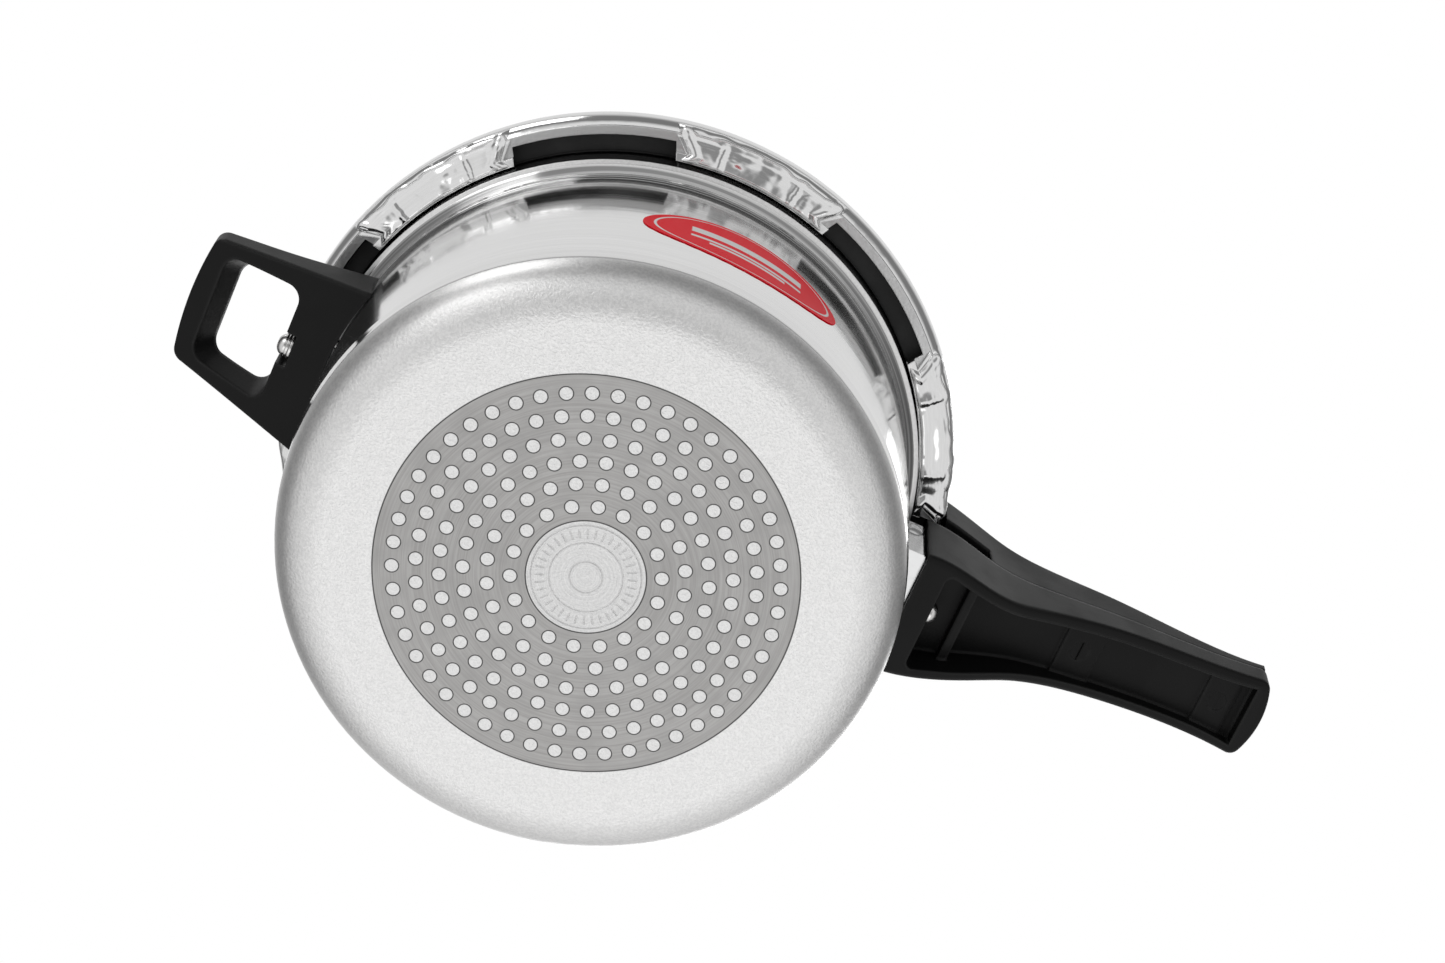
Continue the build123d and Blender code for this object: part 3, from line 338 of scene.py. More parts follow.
# %% One ring of dots
HOLE_R = 0.0025
PLATE_R = 0.075
DISC_R = 0.0212
RING_FIRST_R, RING_STEP = 0.0266, 0.0083
RING_FIRST_HOLES, RING_MORE_HOLES = 18, 6
RING_TURN = (-183.0, -193.0, -199.0, -193.0, -197.5, -200.5)

dot_ring, ins, outs = new_group("dot_ring", {"Ring": 0.03, "Dots": 18.0, "Start": 0.0}, ("Distance",))
place = use(dot_ring, round_place)
sector = calc(dot_ring, "DIVIDE", 360.0, ins["Dots"])
half_sector = calc(dot_ring, "MULTIPLY", sector, 0.5)
shifted = calc(dot_ring, "ADD", calc(dot_ring, "SUBTRACT", place["Angle"], ins["Start"]), half_sector)
folded = calc(dot_ring, "SUBTRACT", calc(dot_ring, "FLOORED_MODULO", shifted, sector), half_sector)
folded = calc(dot_ring, "RADIANS", folded)
side = calc(dot_ring, "MULTIPLY", place["Radius"], calc(dot_ring, "SINE", folded))
reach_out = calc(dot_ring, "MULTIPLY", place["Radius"], calc(dot_ring, "COSINE", folded))
along = calc(dot_ring, "SUBTRACT", reach_out, ins["Ring"])
squares = calc(dot_ring, "MULTIPLY_ADD", side, side, calc(dot_ring, "MULTIPLY", along, along))
feed(dot_ring, outs["Distance"], calc(dot_ring, "SQRT", squares))
print("dot_ring made")

# %% [markdown]
# ### Joints of the disc
# The pot and the disc meet along every dot, round the disc's rim and round the bare centre. Both pieces
# need the same line in the same place, so a second group puts the six rings and the two circles
# together, and both materials place it.

# %% Joints of the disc
disc_joints, ins, outs = new_group("disc_joints", {}, ("Joint", "In Dot"))
nearest = 1.0
for ring, start in enumerate(RING_TURN):
    dots = use(disc_joints, dot_ring, Ring=RING_FIRST_R + ring * RING_STEP,
               Dots=float(RING_FIRST_HOLES + ring * RING_MORE_HOLES), Start=start)
    nearest = calc(disc_joints, "MINIMUM", nearest, dots["Distance"])
place = use(disc_joints, round_place)
joint = band(disc_joints, nearest, HOLE_R, 0.00010, 0.00022)
for edge_r in (PLATE_R, DISC_R):
    joint = calc(disc_joints, "MAXIMUM", joint, band(disc_joints, place["Radius"], edge_r, 0.00012, 0.00025))
underside = fade(disc_joints, place["Height"], 0.0012, 0.0009)
feed(disc_joints, outs["Joint"], calc(disc_joints, "MULTIPLY", joint, underside))
well_inside = fade(disc_joints, nearest, HOLE_R, HOLE_R - 0.0006)
feed(disc_joints, outs["In Dot"], calc(disc_joints, "MULTIPLY", well_inside, underside))
print("disc_joints made from", len(RING_TURN), "rings")

# %% [markdown]
# ## Pot
# One sheet of aluminium carries three finishes. The underside is blasted to an even satin, the wall is
# buffed to a mirror with fine spun lines, and the bead under the rim is left rough. They could be three
# materials on picked faces, but a pot has no seams where materials could meet. So it has one material,
# divided by masks of height and facing, and the masks come first.

# %% Where each finish of the pot lies
SATIN_TOP_Z = 0.0155         # the blasting ends part of the way up the corner
BEAD_Z = 0.1226              # the rough bead under the rim
MOUTH_Z = 0.134              # above this the rim is outside metal
# painted reflection: between these heights the wall's dark reflected bands are painted in as dark lines
DARK_BAND_FROM_Z, DARK_BAND_FULL_Z = 0.070, 0.112
finish, tree, shader = new_finish("pot_aluminium", Metallic=1.0, Specular_IOR_Level=0.5)
place = use(tree, round_place)
joints = use(tree, disc_joints)
towards_axis = fade(tree, place["Facing Out"], -0.05, -0.25)
upwards = fade(tree, place["Facing Up"], 0.2, 0.5)
facing_in = calc(tree, "MAXIMUM", towards_axis, upwards)
inside = calc(tree, "MULTIPLY", facing_in, fade(tree, place["Height"], MOUTH_Z, MOUTH_Z - 0.003))
outside = calc(tree, "SUBTRACT", 1.0, inside)
low_down = fade(tree, place["Height"], SATIN_TOP_Z + 0.0007, SATIN_TOP_Z - 0.0007)
satin = calc(tree, "MULTIPLY", low_down, outside)
scored = calc(tree, "MULTIPLY", band(tree, place["Height"], SATIN_TOP_Z, 0.00025, 0.0004), outside)
bead = calc(tree, "MULTIPLY", band(tree, place["Height"], BEAD_Z, 0.0006, 0.0006), outside)
rough_mix = calc(tree, "MAXIMUM", satin, bead)
in_disc = calc(tree, "MULTIPLY", fade(tree, place["Radius"], DISC_R, DISC_R - 0.0004), satin)
# painted reflection: how strongly the dark bands are painted, rising towards the neck
painted_reflection_reach = calc(tree, "MULTIPLY", fade(tree, place["Height"], DARK_BAND_FROM_Z, DARK_BAND_FULL_Z), outside)
print("pot: satin below", SATIN_TOP_Z, "m, rough bead at", BEAD_Z, "m")

# %% [markdown]
# ### Tool marks and painted reflection on the pot
# The lathe leaves lines of every width. Towards the neck, broad dark lines are painted in. They are a
# painted reflection of the dark bands that the polished wall shows there. One noise would give one width
# only, so four densities of the same group are used.

# %% Tool marks and painted reflection on the pot
lines = use(tree, spun_lines, Density=1700.0)["Lines"]
coarse_lines = use(tree, spun_lines, Density=260.0, Streak=3.0)["Lines"]
# painted reflection: fine and broad dark bands that stand in for what the polished wall reflects near the
# neck
fine_painted_bands = fade(tree, use(tree, spun_lines, Density=700.0, Streak=4.0)["Lines"], 0.42, 0.60, 0.0, 0.8)
broad_painted_bands = fade(tree, use(tree, spun_lines, Density=210.0, Streak=3.0)["Lines"], 0.40, 0.62, 0.0, 0.8)
painted_neck_reflection = calc(tree, "MAXIMUM", fine_painted_bands, broad_painted_bands)
grain = use(tree, blasted_grain, Scale=1000.0)
marks = use(tree, handling_marks)
edges = use(tree, eased_edges, Radius=0.0005)
print("pot: tool marks ready")

# %% [markdown]
# ### Colour of the pot
# Polished and blasted aluminium are the same metal, so only the tone moves. The dents are painted darker
# at their bottoms as painted shade, the centre and the dots are duller than the ring round them, and dirt
# stays in joints.

# %% Colour of the pot
tone = blend_colour(tree, lines, grey(0.66, 0.002), grey(0.88, 0.002))
# painted reflection: the dark bands near the neck are painted into the wall's colour
tone = blend_colour(tree, calc(tree, "MULTIPLY", painted_neck_reflection, painted_reflection_reach), tone, grey(0.22))
satin_tone = blend_colour(tree, grain["Cloud"], grey(0.78, 0.004), grey(0.81, 0.004))
# painted shade: the dents' bottoms are painted darker, as the shade in each small hollow
satin_tone = blend_colour(tree, fade(tree, grain["Dents"], 0.75, 0.50, 0.0, 0.40), satin_tone, grey(0.58))
turned_lines = calc(tree, "MULTIPLY", fade(tree, lines, 0.35, 0.65), in_disc)
satin_tone = blend_colour(tree, calc(tree, "MULTIPLY", turned_lines, 0.35), satin_tone, grey(0.42))
satin_tone = blend_colour(tree, calc(tree, "MULTIPLY", in_disc, 0.25), satin_tone, grey(0.52))
satin_tone = blend_colour(tree, calc(tree, "MULTIPLY", joints["In Dot"], 0.30), satin_tone, grey(0.60))
tone = blend_colour(tree, rough_mix, tone, satin_tone)
tone = blend_colour(tree, calc(tree, "MULTIPLY", scored, 0.55), tone, grey(0.16))
tone = blend_colour(tree, calc(tree, "MULTIPLY", joints["Joint"], 0.85), tone, grey(0.05))
feed(tree, shader["Base Color"], tone)
print("pot: coloured")

# %% [markdown]
# ### Gloss and relief of the pot
# Gloss tells a mirror from a satin far more than colour does. The wall is nearly a mirror, the inside
# is brushed, and the blasted metal is dull. The dents are a bump of a real depth. The blast strikes the
# bend at a slant, so they get shallower towards it.

# %% Gloss and relief of the pot
polished = calc(tree, "MULTIPLY_ADD", lines, 0.16, 0.02)
polished = calc(tree, "MULTIPLY_ADD", marks["Smudge"], 0.05, polished)
brushed = calc(tree, "MULTIPLY_ADD", coarse_lines, 0.16, 0.22)
satin_rough = calc(tree, "MULTIPLY_ADD", grain["Dents"], 0.14, 0.30)
brushed_share = calc(tree, "MULTIPLY", brushed, inside)
gloss = calc(tree, "ADD", calc(tree, "MULTIPLY", polished, outside), brushed_share)
gloss_mix = node(tree, "ShaderNodeMix", data_type="FLOAT")
for label, value in (("Factor", rough_mix), ("A", gloss), ("B", satin_rough)):
    feed(tree, gloss_mix.inputs[label], value)
feed(tree, shader["Roughness"], gloss_mix.outputs[0])
gentler = fade(tree, place["Height"], 0.001, 0.009, 1.0, 0.15)
dents = calc(tree, "MULTIPLY", calc(tree, "MULTIPLY", grain["Dents"], rough_mix), gentler)
normal = relief(tree, dents, 0.0003, 1.0, edges["Normal"])
normal = relief(tree, calc(tree, "MULTIPLY", coarse_lines, outside), 0.00010, 0.35, normal)
feed(tree, shader["Normal"], normal)
coat_with(finish, "vessel")

# %% [markdown]
# ## Induction disc
# The steel disc is ground flat before it is pressed in, which leaves rings of short scratches and a
# greyer tone than the aluminium. Bump alone would leave the scratches too faint from far off, so a
# radial tangent also stretches the highlights across them. The dark joint round each hole is dirt.

# %% Induction steel
finish, tree, shader = new_finish("induction_steel", Metallic=1.0, Anisotropic=0.35)
lines = use(tree, spun_lines, Density=1300.0, Streak=26.0)["Lines"]
swirl = use(tree, spun_lines, Density=330.0, Streak=14.0)["Lines"]
joints = use(tree, disc_joints)
marks = use(tree, handling_marks, Scale=70.0)
tone = blend_colour(tree, fade(tree, lines, 0.30, 0.72), grey(0.30, 0.006), grey(0.41, 0.006))
swirls = calc(tree, "MULTIPLY", fade(tree, swirl, 0.45, 0.75), 0.25)
tone = blend_colour(tree, swirls, tone, grey(0.47, 0.004))
tone = blend_colour(tree, calc(tree, "MULTIPLY", marks["Smudge"], 0.35), tone, grey(0.36, 0.004))
tone = blend_colour(tree, calc(tree, "MULTIPLY", joints["Joint"], 0.9), tone, grey(0.03))
feed(tree, shader["Base Color"], tone)
dull = calc(tree, "MULTIPLY_ADD", lines, 0.22, 0.34)
feed(tree, shader["Roughness"], calc(tree, "MULTIPLY_ADD", marks["Smudge"], 0.06, dull))
feed(tree, shader["Normal"], relief(tree, lines, 0.00004, 0.5))
feed(tree, shader["Tangent"], node(tree, "ShaderNodeTangent", direction_type="RADIAL", axis="Z").outputs[0])
coat_with(finish, "induction_plate")

# %% [markdown]
# ## Lid
# The lid is buffed like the wall, but its six lugs are bent in by a press. They stretch, so their skin
# looks slightly hammered, and the lid's lowest edge, which is cut, stays grainy. The lid could have a
# second material for its lugs, but the polish fades into them, so a mask of height is used again.

# %% Lid aluminium
LUG_TOP_Z = 0.1345
CUT_EDGE_Z = 0.1303
finish, tree, shader = new_finish("lid_aluminium", Metallic=1.0)
place = use(tree, round_place)
lines = use(tree, spun_lines, Density=1500.0)["Lines"]
grain = use(tree, blasted_grain, Scale=900.0)
marks = use(tree, handling_marks)
edges = use(tree, eased_edges, Radius=0.0006)
on_lug = fade(tree, place["Height"], LUG_TOP_Z, LUG_TOP_Z - 0.0027)
facing_down = fade(tree, place["Facing Up"], 0.1, -0.3)
cut_edge = calc(tree, "MULTIPLY", band(tree, place["Height"], CUT_EDGE_Z, 0.0001, 0.0002), facing_down)
hammer = node(tree, "ShaderNodeTexVoronoi", feature="SMOOTH_F1")
feed(tree, hammer.inputs["Vector"], here(tree))
hammer.inputs["Scale"].default_value = 190.0
hammer.inputs["Smoothness"].default_value = 0.6
uneven = calc(tree, "ADD", hammer.outputs["Distance"], speckle(tree, here(tree), 150.0, 3.0))
dimples = calc(tree, "MULTIPLY", uneven, on_lug)
tone = blend_colour(tree, lines, grey(0.70, 0.001), grey(0.88, 0.001))
tone = blend_colour(tree, calc(tree, "MULTIPLY", cut_edge, 0.6), tone, grey(0.5))
feed(tree, shader["Base Color"], tone)
gloss = calc(tree, "MULTIPLY_ADD", lines, 0.10, 0.04)
gloss = calc(tree, "MULTIPLY_ADD", marks["Smudge"], 0.05, gloss)
gloss = calc(tree, "MULTIPLY_ADD", on_lug, 0.02, gloss)
feed(tree, shader["Roughness"], calc(tree, "MULTIPLY_ADD", cut_edge, 0.3, gloss))
normal = relief(tree, dimples, 0.0003, 0.20, edges["Normal"])
normal = relief(tree, calc(tree, "MULTIPLY", grain["Dents"], cut_edge), 0.0002, 1.0, normal)
feed(tree, shader["Normal"], normal)
coat_with(finish, "lid")
lid_aluminium = finish

# %% [markdown]
# ### Pressed faces of the lugs
# The press bends each lug in while the metal is cold, so its underside is dented, its two ends curl
# up beside the slots, and two jagged steps cross it where the die's jaws met. A bump map would leave
# the outline smooth, so each face is a real skin: a grid in angle and in distance along the lid's
# section, pushed out by the sum of these marks, with its border tucked into the lid.

# %% The lug's size
MM = 0.001
LUG_COUNT = 6
LUG_PHASE, LUG_PITCH = 33.9, 60.0        # degrees
SECTION = ((118.3, 127.7), (126.4, 129.6), (129.0, 131.4), (130.3, 134.0))     # radius, height in mm
ENDS_AT = ((118.3, 14.3), (121.0, 13.0), (126.0, 14.6), (130.3, 16.0))         # radius, half angle
STEPS_AT = (-7.4, 6.8)       # degrees from the lug's middle
OUTERMOST_R = 130.3          # with the sheet's thickness, just inside the lid's own skirt
SHEET_T = 0.5
TUCKED_IN = 0.30             # how far the border lies under the lid's surface
ACROSS, ALONG = 120, 40      # faces in a grid


def follow(points, share):
    """The point at a share from 0 to 1 along a line of points, and the direction there."""
    runs = [(Vector(b) - Vector(a)).length for a, b in zip(points, points[1:])]
    left = share * sum(runs)
    for (a, b), run in zip(zip(points, points[1:]), runs):
        if left <= run + 1e-9:
            return Vector(a).lerp(Vector(b), left / run), (Vector(b) - Vector(a)).normalized()
        left -= run
    return Vector(points[-1]), (Vector(points[-1]) - Vector(points[-2])).normalized()


def half_angle(radius_mm):
    """How far a lug reaches to each side at a radius, in degrees."""
    for (r0, a0), (r1, a1) in zip(ENDS_AT, ENDS_AT[1:]):
        if radius_mm <= r1:
            return a0 + (a1 - a0) * max(0.0, radius_mm - r0) / (r1 - r0)
    return ENDS_AT[-1][1]


print("a lug reaches", half_angle(SECTION[0][0]), "degrees to each side at its inner edge")

# %% [markdown]
# ### Marks of the press
# The marks could be sculpted by hand once and stored, but a formula can be read and changed. Broad and
# middling noise make the dents. Two hills make the steps, each with a hollow beside it, another hill
# curls up each end, and a shallow trough runs along the bend.

# %% Marks of the press
def hill(value, centre, width):
    """A smooth bump of height 1."""
    return exp(-((value - centre) / width) ** 2)


def smooth(value, low, high):
    """A smooth ramp from 0 at low to 1 at high."""
    t = min(1.0, max(0.0, (value - low) / (high - low)))
    return t * t * (3 - 2 * t)


def step(angle, at):
    """A ridge where the die's jaws met, with a hollow beside it."""
    return 0.60 * hill(angle, at, 0.55) - 0.35 * hill(angle, at + 1.4, 0.9)


def press_marks(angle, reach, share, seed):
    """How far the press has pushed the face out, in mm."""
    spot = Vector((angle * 2.05, share * 14.0, seed * 7.3))
    dents = 0.85 * noise.noise(spot * 0.16) + 0.10 * noise.noise(spot * 0.45)
    jagged = 0.18 * noise.noise(Vector((share * 22.0, seed, angle * 0.2)))
    steps = sum(step(angle, at + jagged) for at in STEPS_AT)
    curl = 0.8 * hill(abs(angle), reach - 1.3, 0.8)
    trough = -0.30 * hill(share, 0.62, 0.10)
    inner = 1.0 - smooth(share, 0.55, 0.80)
    return 0.40 + dents + steps * inner + curl * (1.0 - smooth(share, 0.75, 0.95)) + trough


print("the first lug's middle is pushed out by", round(press_marks(0.0, 14.0, 0.5, 0), 2), "mm")

# %% [markdown]
# ### Building the six skins
# A grid of points is placed row by row along the section, and neighbouring rows are joined by faces. A
# Solidify modifier gives the skin the thickness of sheet. Every lug has its own noise, as no two are
# pressed alike, and each skin rides on the lid.

# %% Lug faces
for lug in range(LUG_COUNT):
    skin_mesh = bmesh.new()
    rows = []
    for j in range(ALONG + 1):
        share = j / ALONG
        (r, z), way = follow(SECTION, share)
        reach = half_angle(r)
        row = []
        for i in range(ACROSS + 1):
            turn = (2 * i / ACROSS - 1) * reach
            end_border = smooth(reach - abs(turn), 0, 0.8)
            border = min(smooth(share, 0, 0.05), smooth(1 - share, 0, 0.12), end_border)
            pushed = max(0.05, press_marks(turn, reach, share, lug))
            out = border * (TUCKED_IN + pushed) - TUCKED_IN
            where = radians(LUG_PHASE + LUG_PITCH * lug + turn)
            far = min(r + way.y * out, OUTERMOST_R) * MM
            high = (z - way.x * out) * MM
            row.append(skin_mesh.verts.new((far * cos(where), far * sin(where), high)))
        rows.append(row)
    for low_row, high_row in zip(rows, rows[1:]):
        for i in range(ACROSS):
            corners = (low_row[i], high_row[i], high_row[i + 1], low_row[i + 1])
            skin_mesh.faces.new(corners).smooth = True
    lug_data = bpy.data.meshes.new(f"lug_face_{lug}")
    skin_mesh.to_mesh(lug_data)
    skin_mesh.free()
    lug_data.materials.append(lid_aluminium)
    lug_face = bpy.data.objects.new(f"lug_face_{lug}", lug_data)
    bpy.context.scene.collection.objects.link(lug_face)
    thick = lug_face.modifiers.new("sheet", "SOLIDIFY")
    thick.thickness, thick.offset = SHEET_T * MM, -1.0
    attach(lug_face, "lid")
print(LUG_COUNT, "lug faces of", len(lug_data.polygons), "faces each")

# %% [markdown]
# ## Bakelite handles
# Bakelite is a filled resin: nearly black, with a soft sheen that the hand polishes along the edges, and its
# rims are painted a lighter grey as a painted highlight. A plain black would look like a hole in the
# picture, so the flow of the resin moves its tone and gloss a little, and the wide bevel normal rounds the
# rims as the mould does.

# %% Bakelite
finish, tree, shader = new_finish("black_bakelite", Specular_IOR_Level=0.16)
skin = use(tree, moulded_skin)
marks = use(tree, handling_marks, Scale=45.0)
edges = use(tree, eased_edges, Radius=0.0022)
tone = blend_colour(tree, skin["Flow"], grey(0.0022), grey(0.0060))
# painted highlight: the bakelite's rims are painted a lighter grey, standing in for the light they catch
tone = blend_colour(tree, calc(tree, "MULTIPLY", edges["Edge"], 0.6), tone, grey(0.036))
feed(tree, shader["Base Color"], tone)
dull = calc(tree, "MULTIPLY_ADD", skin["Flow"], 0.16, 0.33)
dull = calc(tree, "MULTIPLY_ADD", marks["Smudge"], 0.06, dull)
feed(tree, shader["Roughness"], calc(tree, "MULTIPLY_ADD", edges["Edge"], -0.14, dull))
feed(tree, shader["Normal"], relief(tree, skin["Pebble"], 0.00005, 0.6, edges["Normal"]))
coat_with(finish, "body_handle", "lid_handle", "helper_handle", "regulator_knob")

# %% [markdown]
# ## Bright steel, brass and the rest
# Brackets are stamped from bright stainless sheet with the roll's straight lines in it. Screws, nuts
# and rivets are plated, with a cloudier shine. Fittings on the lid are chromed brass. They differ in
# tone and gloss but not in kind, so one function makes them all.

# %% Brackets and fasteners
def plated(name, low, high, rough, line_scale, edge_r):
    """A plated or rolled metal: straight hairlines, smudges and bright worn edges."""
    finish, tree, shader = new_finish(name, Metallic=1.0)
    rolled = node(tree, "ShaderNodeMapping")
    feed(tree, rolled.inputs["Vector"], here(tree))
    rolled.inputs["Scale"].default_value = (1.0, 1.0, 18.0)
    lines = speckle(tree, rolled.outputs[0], line_scale, 3.0)
    marks = use(tree, handling_marks, Scale=120.0)
    edges = use(tree, eased_edges, Radius=edge_r)
    tone = blend_colour(tree, lines, low, high)
    tone = blend_colour(tree, calc(tree, "MULTIPLY", edges["Edge"], 0.4), tone, high)
    feed(tree, shader["Base Color"], tone)
    dull = calc(tree, "MULTIPLY_ADD", lines, 0.12, rough)
    feed(tree, shader["Roughness"], calc(tree, "MULTIPLY_ADD", marks["Smudge"], 0.08, dull))
    feed(tree, shader["Normal"], relief(tree, lines, 0.00003, 0.4, edges["Normal"]))
    return finish


coat_with(plated("bracket_stainless", grey(0.50), grey(0.66), 0.16, 90.0, 0.0005),
          "body_bracket", "helper_bracket", "lid_bracket")
coat_with(plated("plated_fasteners", grey(0.55, 0.006), grey(0.78, 0.008), 0.18, 300.0, 0.0003),
          "body_handle_screw", "body_handle_washer", "body_bracket_nut", "body_bracket_rivets",
          "helper_screw", "helper_washers", "helper_nut", "helper_bracket_rivets",
          "lid_bracket_rivets", "lid_handle_screws")
coat_with(plated("chromed_fittings", grey(0.70, -0.004), grey(0.86, -0.004), 0.05, 200.0, 0.0004),
          "vent_tube", "safety_valve", "regulator_weight", "vent_nut", "valve_nut")
coat_with(plated("turned_brass", (0.62, 0.42, 0.16, 1.0), (0.80, 0.60, 0.28, 1.0), 0.16, 260.0, 0.0003),
          "regulator_sleeve", "regulator_needle")
coat_with(plated("fusible_metal", grey(0.38), grey(0.55), 0.40, 400.0, 0.0003), "fusible_plug")

# %% [markdown]
# ## Rubber
# The gasket is nitrile rubber: black, dull and slightly dusty. The dust is the same smudge that dulls
# the metal, used here to lighten the tone.

# %% Gasket rubber
finish, tree, shader = new_finish("gasket_rubber")
skin = use(tree, moulded_skin, Scale=900.0)
dust = use(tree, handling_marks, Scale=90.0)["Smudge"]
dusted = blend_colour(tree, calc(tree, "MULTIPLY", dust, 0.4), grey(0.010), grey(0.028))
feed(tree, shader["Base Color"], dusted)
feed(tree, shader["Roughness"], calc(tree, "MULTIPLY_ADD", skin["Flow"], 0.2, 0.55))
feed(tree, shader["Normal"], relief(tree, skin["Pebble"], 0.00006, 0.5))
coat_with(finish, "lid_gasket", "vent_washer", "valve_washer")

# %% [markdown]
# ## Label
# The label is a thin enamelled plate, a plain red oval with a pale keyline and plain bars. An image
# would be the usual way, but its drawing is simple enough for arithmetic on the wall's own angle and
# height, which stays sharp at any distance and follows the curve.

# %% Label
LABEL_ANGLE, LABEL_Z = -84.5, 0.061
LABEL_HALF_LONG, LABEL_HALF_HIGH = 0.039, 0.0195
WALL_R = 0.1133
KEYLINE_AT = 0.91            # as a share of the oval
BARS = ((0.16, 0.12, 0.56), (-0.20, 0.035, 0.56), (-0.36, 0.035, 0.38))   # middle, half height, half length
finish, tree, shader = new_finish("label_enamel", Specular_IOR_Level=0.03)
place = use(tree, round_place)
skin = use(tree, moulded_skin, Scale=2200.0)
turned = calc(tree, "RADIANS", calc(tree, "SUBTRACT", place["Angle"], LABEL_ANGLE))
along = calc(tree, "DIVIDE", calc(tree, "MULTIPLY", turned, WALL_R), LABEL_HALF_LONG)
up = calc(tree, "DIVIDE", calc(tree, "SUBTRACT", place["Height"], LABEL_Z), LABEL_HALF_HIGH)
oval = calc(tree, "SQRT", calc(tree, "MULTIPLY_ADD", along, along, calc(tree, "MULTIPLY", up, up)))
drawing = band(tree, oval, KEYLINE_AT, 0.008, 0.010)
for centre, half_high, half_long in BARS:
    bar_high = band(tree, up, centre, half_high, 0.03)
    bar_long = band(tree, along, 0.0, half_long, 0.015)
    drawing = calc(tree, "MAXIMUM", drawing, calc(tree, "MULTIPLY", bar_high, bar_long))
red = blend_colour(tree, skin["Flow"], (0.74, 0.002, 0.012, 1.0), (0.84, 0.003, 0.018, 1.0))
feed(tree, shader["Base Color"], blend_colour(tree, drawing, red, grey(0.72)))
feed(tree, shader["Roughness"], calc(tree, "MULTIPLY_ADD", skin["Flow"], 0.1, 0.22))
feed(tree, shader["Normal"], relief(tree, calc(tree, "ADD", drawing, skin["Pebble"]), 0.00003, 0.4))
coat_with(finish, "front_label")

# %% [markdown]
# ## Smooth shading
# The frame arrives as facets. A finer mesh would hide them at the cost of many faces. Smooth shading by
# angle rounds what is meant to be round and keeps real corners, and moves no point of the mesh.

# %% Smooth shading
SMOOTH_ANGLE = radians(28)
for piece in nodes.values():
    for face in piece.data.polygons:
        face.use_smooth = True
    piece.data.set_sharp_from_angle(angle=SMOOTH_ANGLE)
print("smoothed", len(nodes), "nodes below", round(SMOOTH_ANGLE, 2), "rad")

# %% [markdown]
# ## Floor
# The ground is a plain pale sheet that the cooker rests on. The lens looks up from below it, so its
# underside is clear: the Backfacing mask picks a transparent shader there. It casts no shadow and shows
# in no reflection either, because the cooker is lit from below as if it hung in the air.

# %% Floor
FLOOR_HALF = 4.0
finish, tree, shader = new_finish("pale_floor", Roughness=0.9)
paper = speckle(tree, here(tree), 3.0)
feed(tree, shader["Base Color"], blend_colour(tree, paper, grey(0.80), grey(0.84)))
see_through = node(tree, "ShaderNodeBsdfTransparent")
pick = node(tree, "ShaderNodeMixShader")
feed(tree, pick.inputs[0], node(tree, "ShaderNodeNewGeometry").outputs["Backfacing"])
feed(tree, pick.inputs[1], tree.nodes["Principled BSDF"].outputs[0])
feed(tree, pick.inputs[2], see_through.outputs[0])
feed(tree, tree.nodes["Material Output"].inputs["Surface"], pick.outputs[0])
sheet_mesh = bmesh.new()
bmesh.ops.create_grid(sheet_mesh, x_segments=8, y_segments=8, size=FLOOR_HALF)
floor_data = bpy.data.meshes.new("studio_floor")
sheet_mesh.to_mesh(floor_data)
sheet_mesh.free()
floor_data.materials.append(finish)
floor = bpy.data.objects.new("studio_floor", floor_data)
bpy.context.scene.collection.objects.link(floor)
for ray in ("shadow", "diffuse", "glossy", "transmission"):
    setattr(floor, "visible_" + ray, False)
floor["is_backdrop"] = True
print("floor", 2 * FLOOR_HALF, "m wide, clear from below")

# %% [markdown]
# ## Soft boxes
# Most of the light comes from the pale surroundings below. These four boxes only add a gentle direction
# to it, two from under the cooker and two from above. A larger box gives a softer edge to its light and
# a broader patch in polished metal.

# %% Soft boxes
def soft_box(name, at, towards, size, power):
    """A square area light aimed at a point, itself out of the picture."""
    light = bpy.data.lights.new(name, "AREA")
    light.shape, light.size, light.energy = "SQUARE", size, power
    lamp = bpy.data.objects.new(name, light)
    bpy.context.scene.collection.objects.link(lamp)
    aim = (Vector(towards) - Vector(at)).to_track_quat("-Z", "Y")
    lamp.matrix_world = Matrix.Translation(at) @ aim.to_matrix().to_4x4()
    lamp.visible_camera = False


soft_box("under_box", (0.15, 0.55, -1.35), (0, 0, 0.05), 1.0, 2.0)
soft_box("under_side_box", (-1.1, -0.75, -0.25), (0, 0, 0.1), 0.5, 1.6)
soft_box("over_box", (0.5, 0.7, 1.4), (0, 0, 0.1), 0.9, 7.0)
soft_box("over_side_box", (-1.0, -0.9, 0.8), (0, 0, 0.1), 0.6, 3.0)
print("four soft boxes hung")

# %% [markdown]
# ## Pale surroundings
# Polished metal shows the room more than itself. An evenly white room would wipe it out, so the room is
# pale below and above with a darker belt between, has one darker patch where the lens stands and one
# pale screen on the far side. The lens itself sees plain white: Light Path tells its rays from the rest.

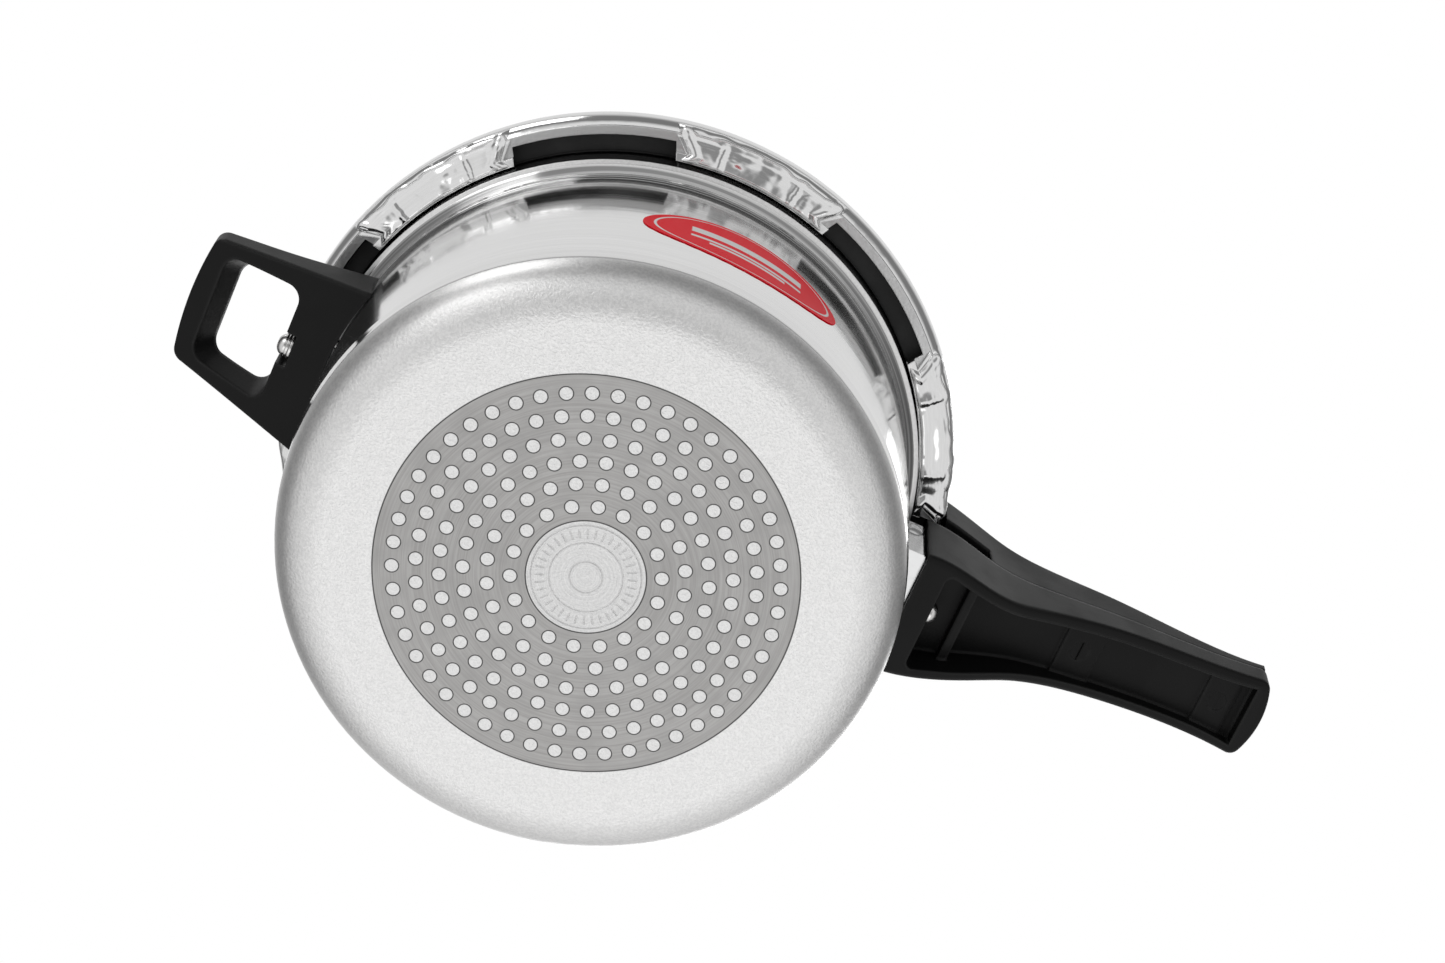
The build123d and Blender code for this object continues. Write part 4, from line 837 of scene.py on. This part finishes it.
# %% Pale surroundings
BELT_LEVEL = 0.22                       # how bright the darkest belt is
DARK_SIDE = (-0.08, -0.36, -0.93)       # the unlit patch of the room below
PALE_SIDE = (0.32, 0.86, 0.39)          # a pale screen beyond the cooker, low down
world = bpy.data.worlds.new("pale_studio")
bpy.context.scene.world = world
world.use_nodes = True
tree = world.node_tree
backdrop = tree.nodes["Background"]
backdrop.inputs["Color"].default_value = grey(1.0)
backdrop.inputs["Strength"].default_value = 1.0
surround = node(tree, "ShaderNodeBackground")
ray = node(tree, "ShaderNodeTexCoord").outputs["Generated"]
height = split(tree, ray)[2]


def nearness(direction):
    """1 for rays that go in a direction, less the further they turn from it."""
    made = node(tree, "ShaderNodeVectorMath", operation="DOT_PRODUCT")
    feed(tree, made.inputs[0], ray)
    made.inputs[1].default_value = direction
    return made.outputs["Value"]


below = fade(tree, height, 0.10, -0.28, 0.0, 0.62)
above = fade(tree, height, 0.55, 0.90, 0.0, 0.60)
behind_lens = fade(tree, nearness(DARK_SIDE), 0.90, 0.99, 1.0, 0.34)
far_glow = fade(tree, nearness(PALE_SIDE), 0.68, 0.95, 0.0, 0.48)
pale = calc(tree, "ADD", calc(tree, "ADD", below, above), BELT_LEVEL)
pale = calc(tree, "ADD", pale, far_glow)
feed(tree, surround.inputs["Color"], calc(tree, "MULTIPLY", pale, behind_lens))
surround.inputs["Strength"].default_value = 1.0
pick = node(tree, "ShaderNodeMixShader")
feed(tree, pick.inputs[0], node(tree, "ShaderNodeLightPath").outputs["Is Camera Ray"])
feed(tree, pick.inputs[1], surround.outputs[0])
feed(tree, pick.inputs[2], backdrop.outputs[0])
feed(tree, tree.nodes["World Output"].inputs["Surface"], pick.outputs[0])
bpy.context.scene.view_settings.view_transform = "Standard"
print("surroundings: belt at", BELT_LEVEL, "of white")

# %% [markdown]
# ## Last words
# The box of the finished model is printed at the end. The added skins are kept inside the real size.

# %% Finish
low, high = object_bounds()
print("visual box", [round(v, 4) for v in low], [round(v, 4) for v in high])
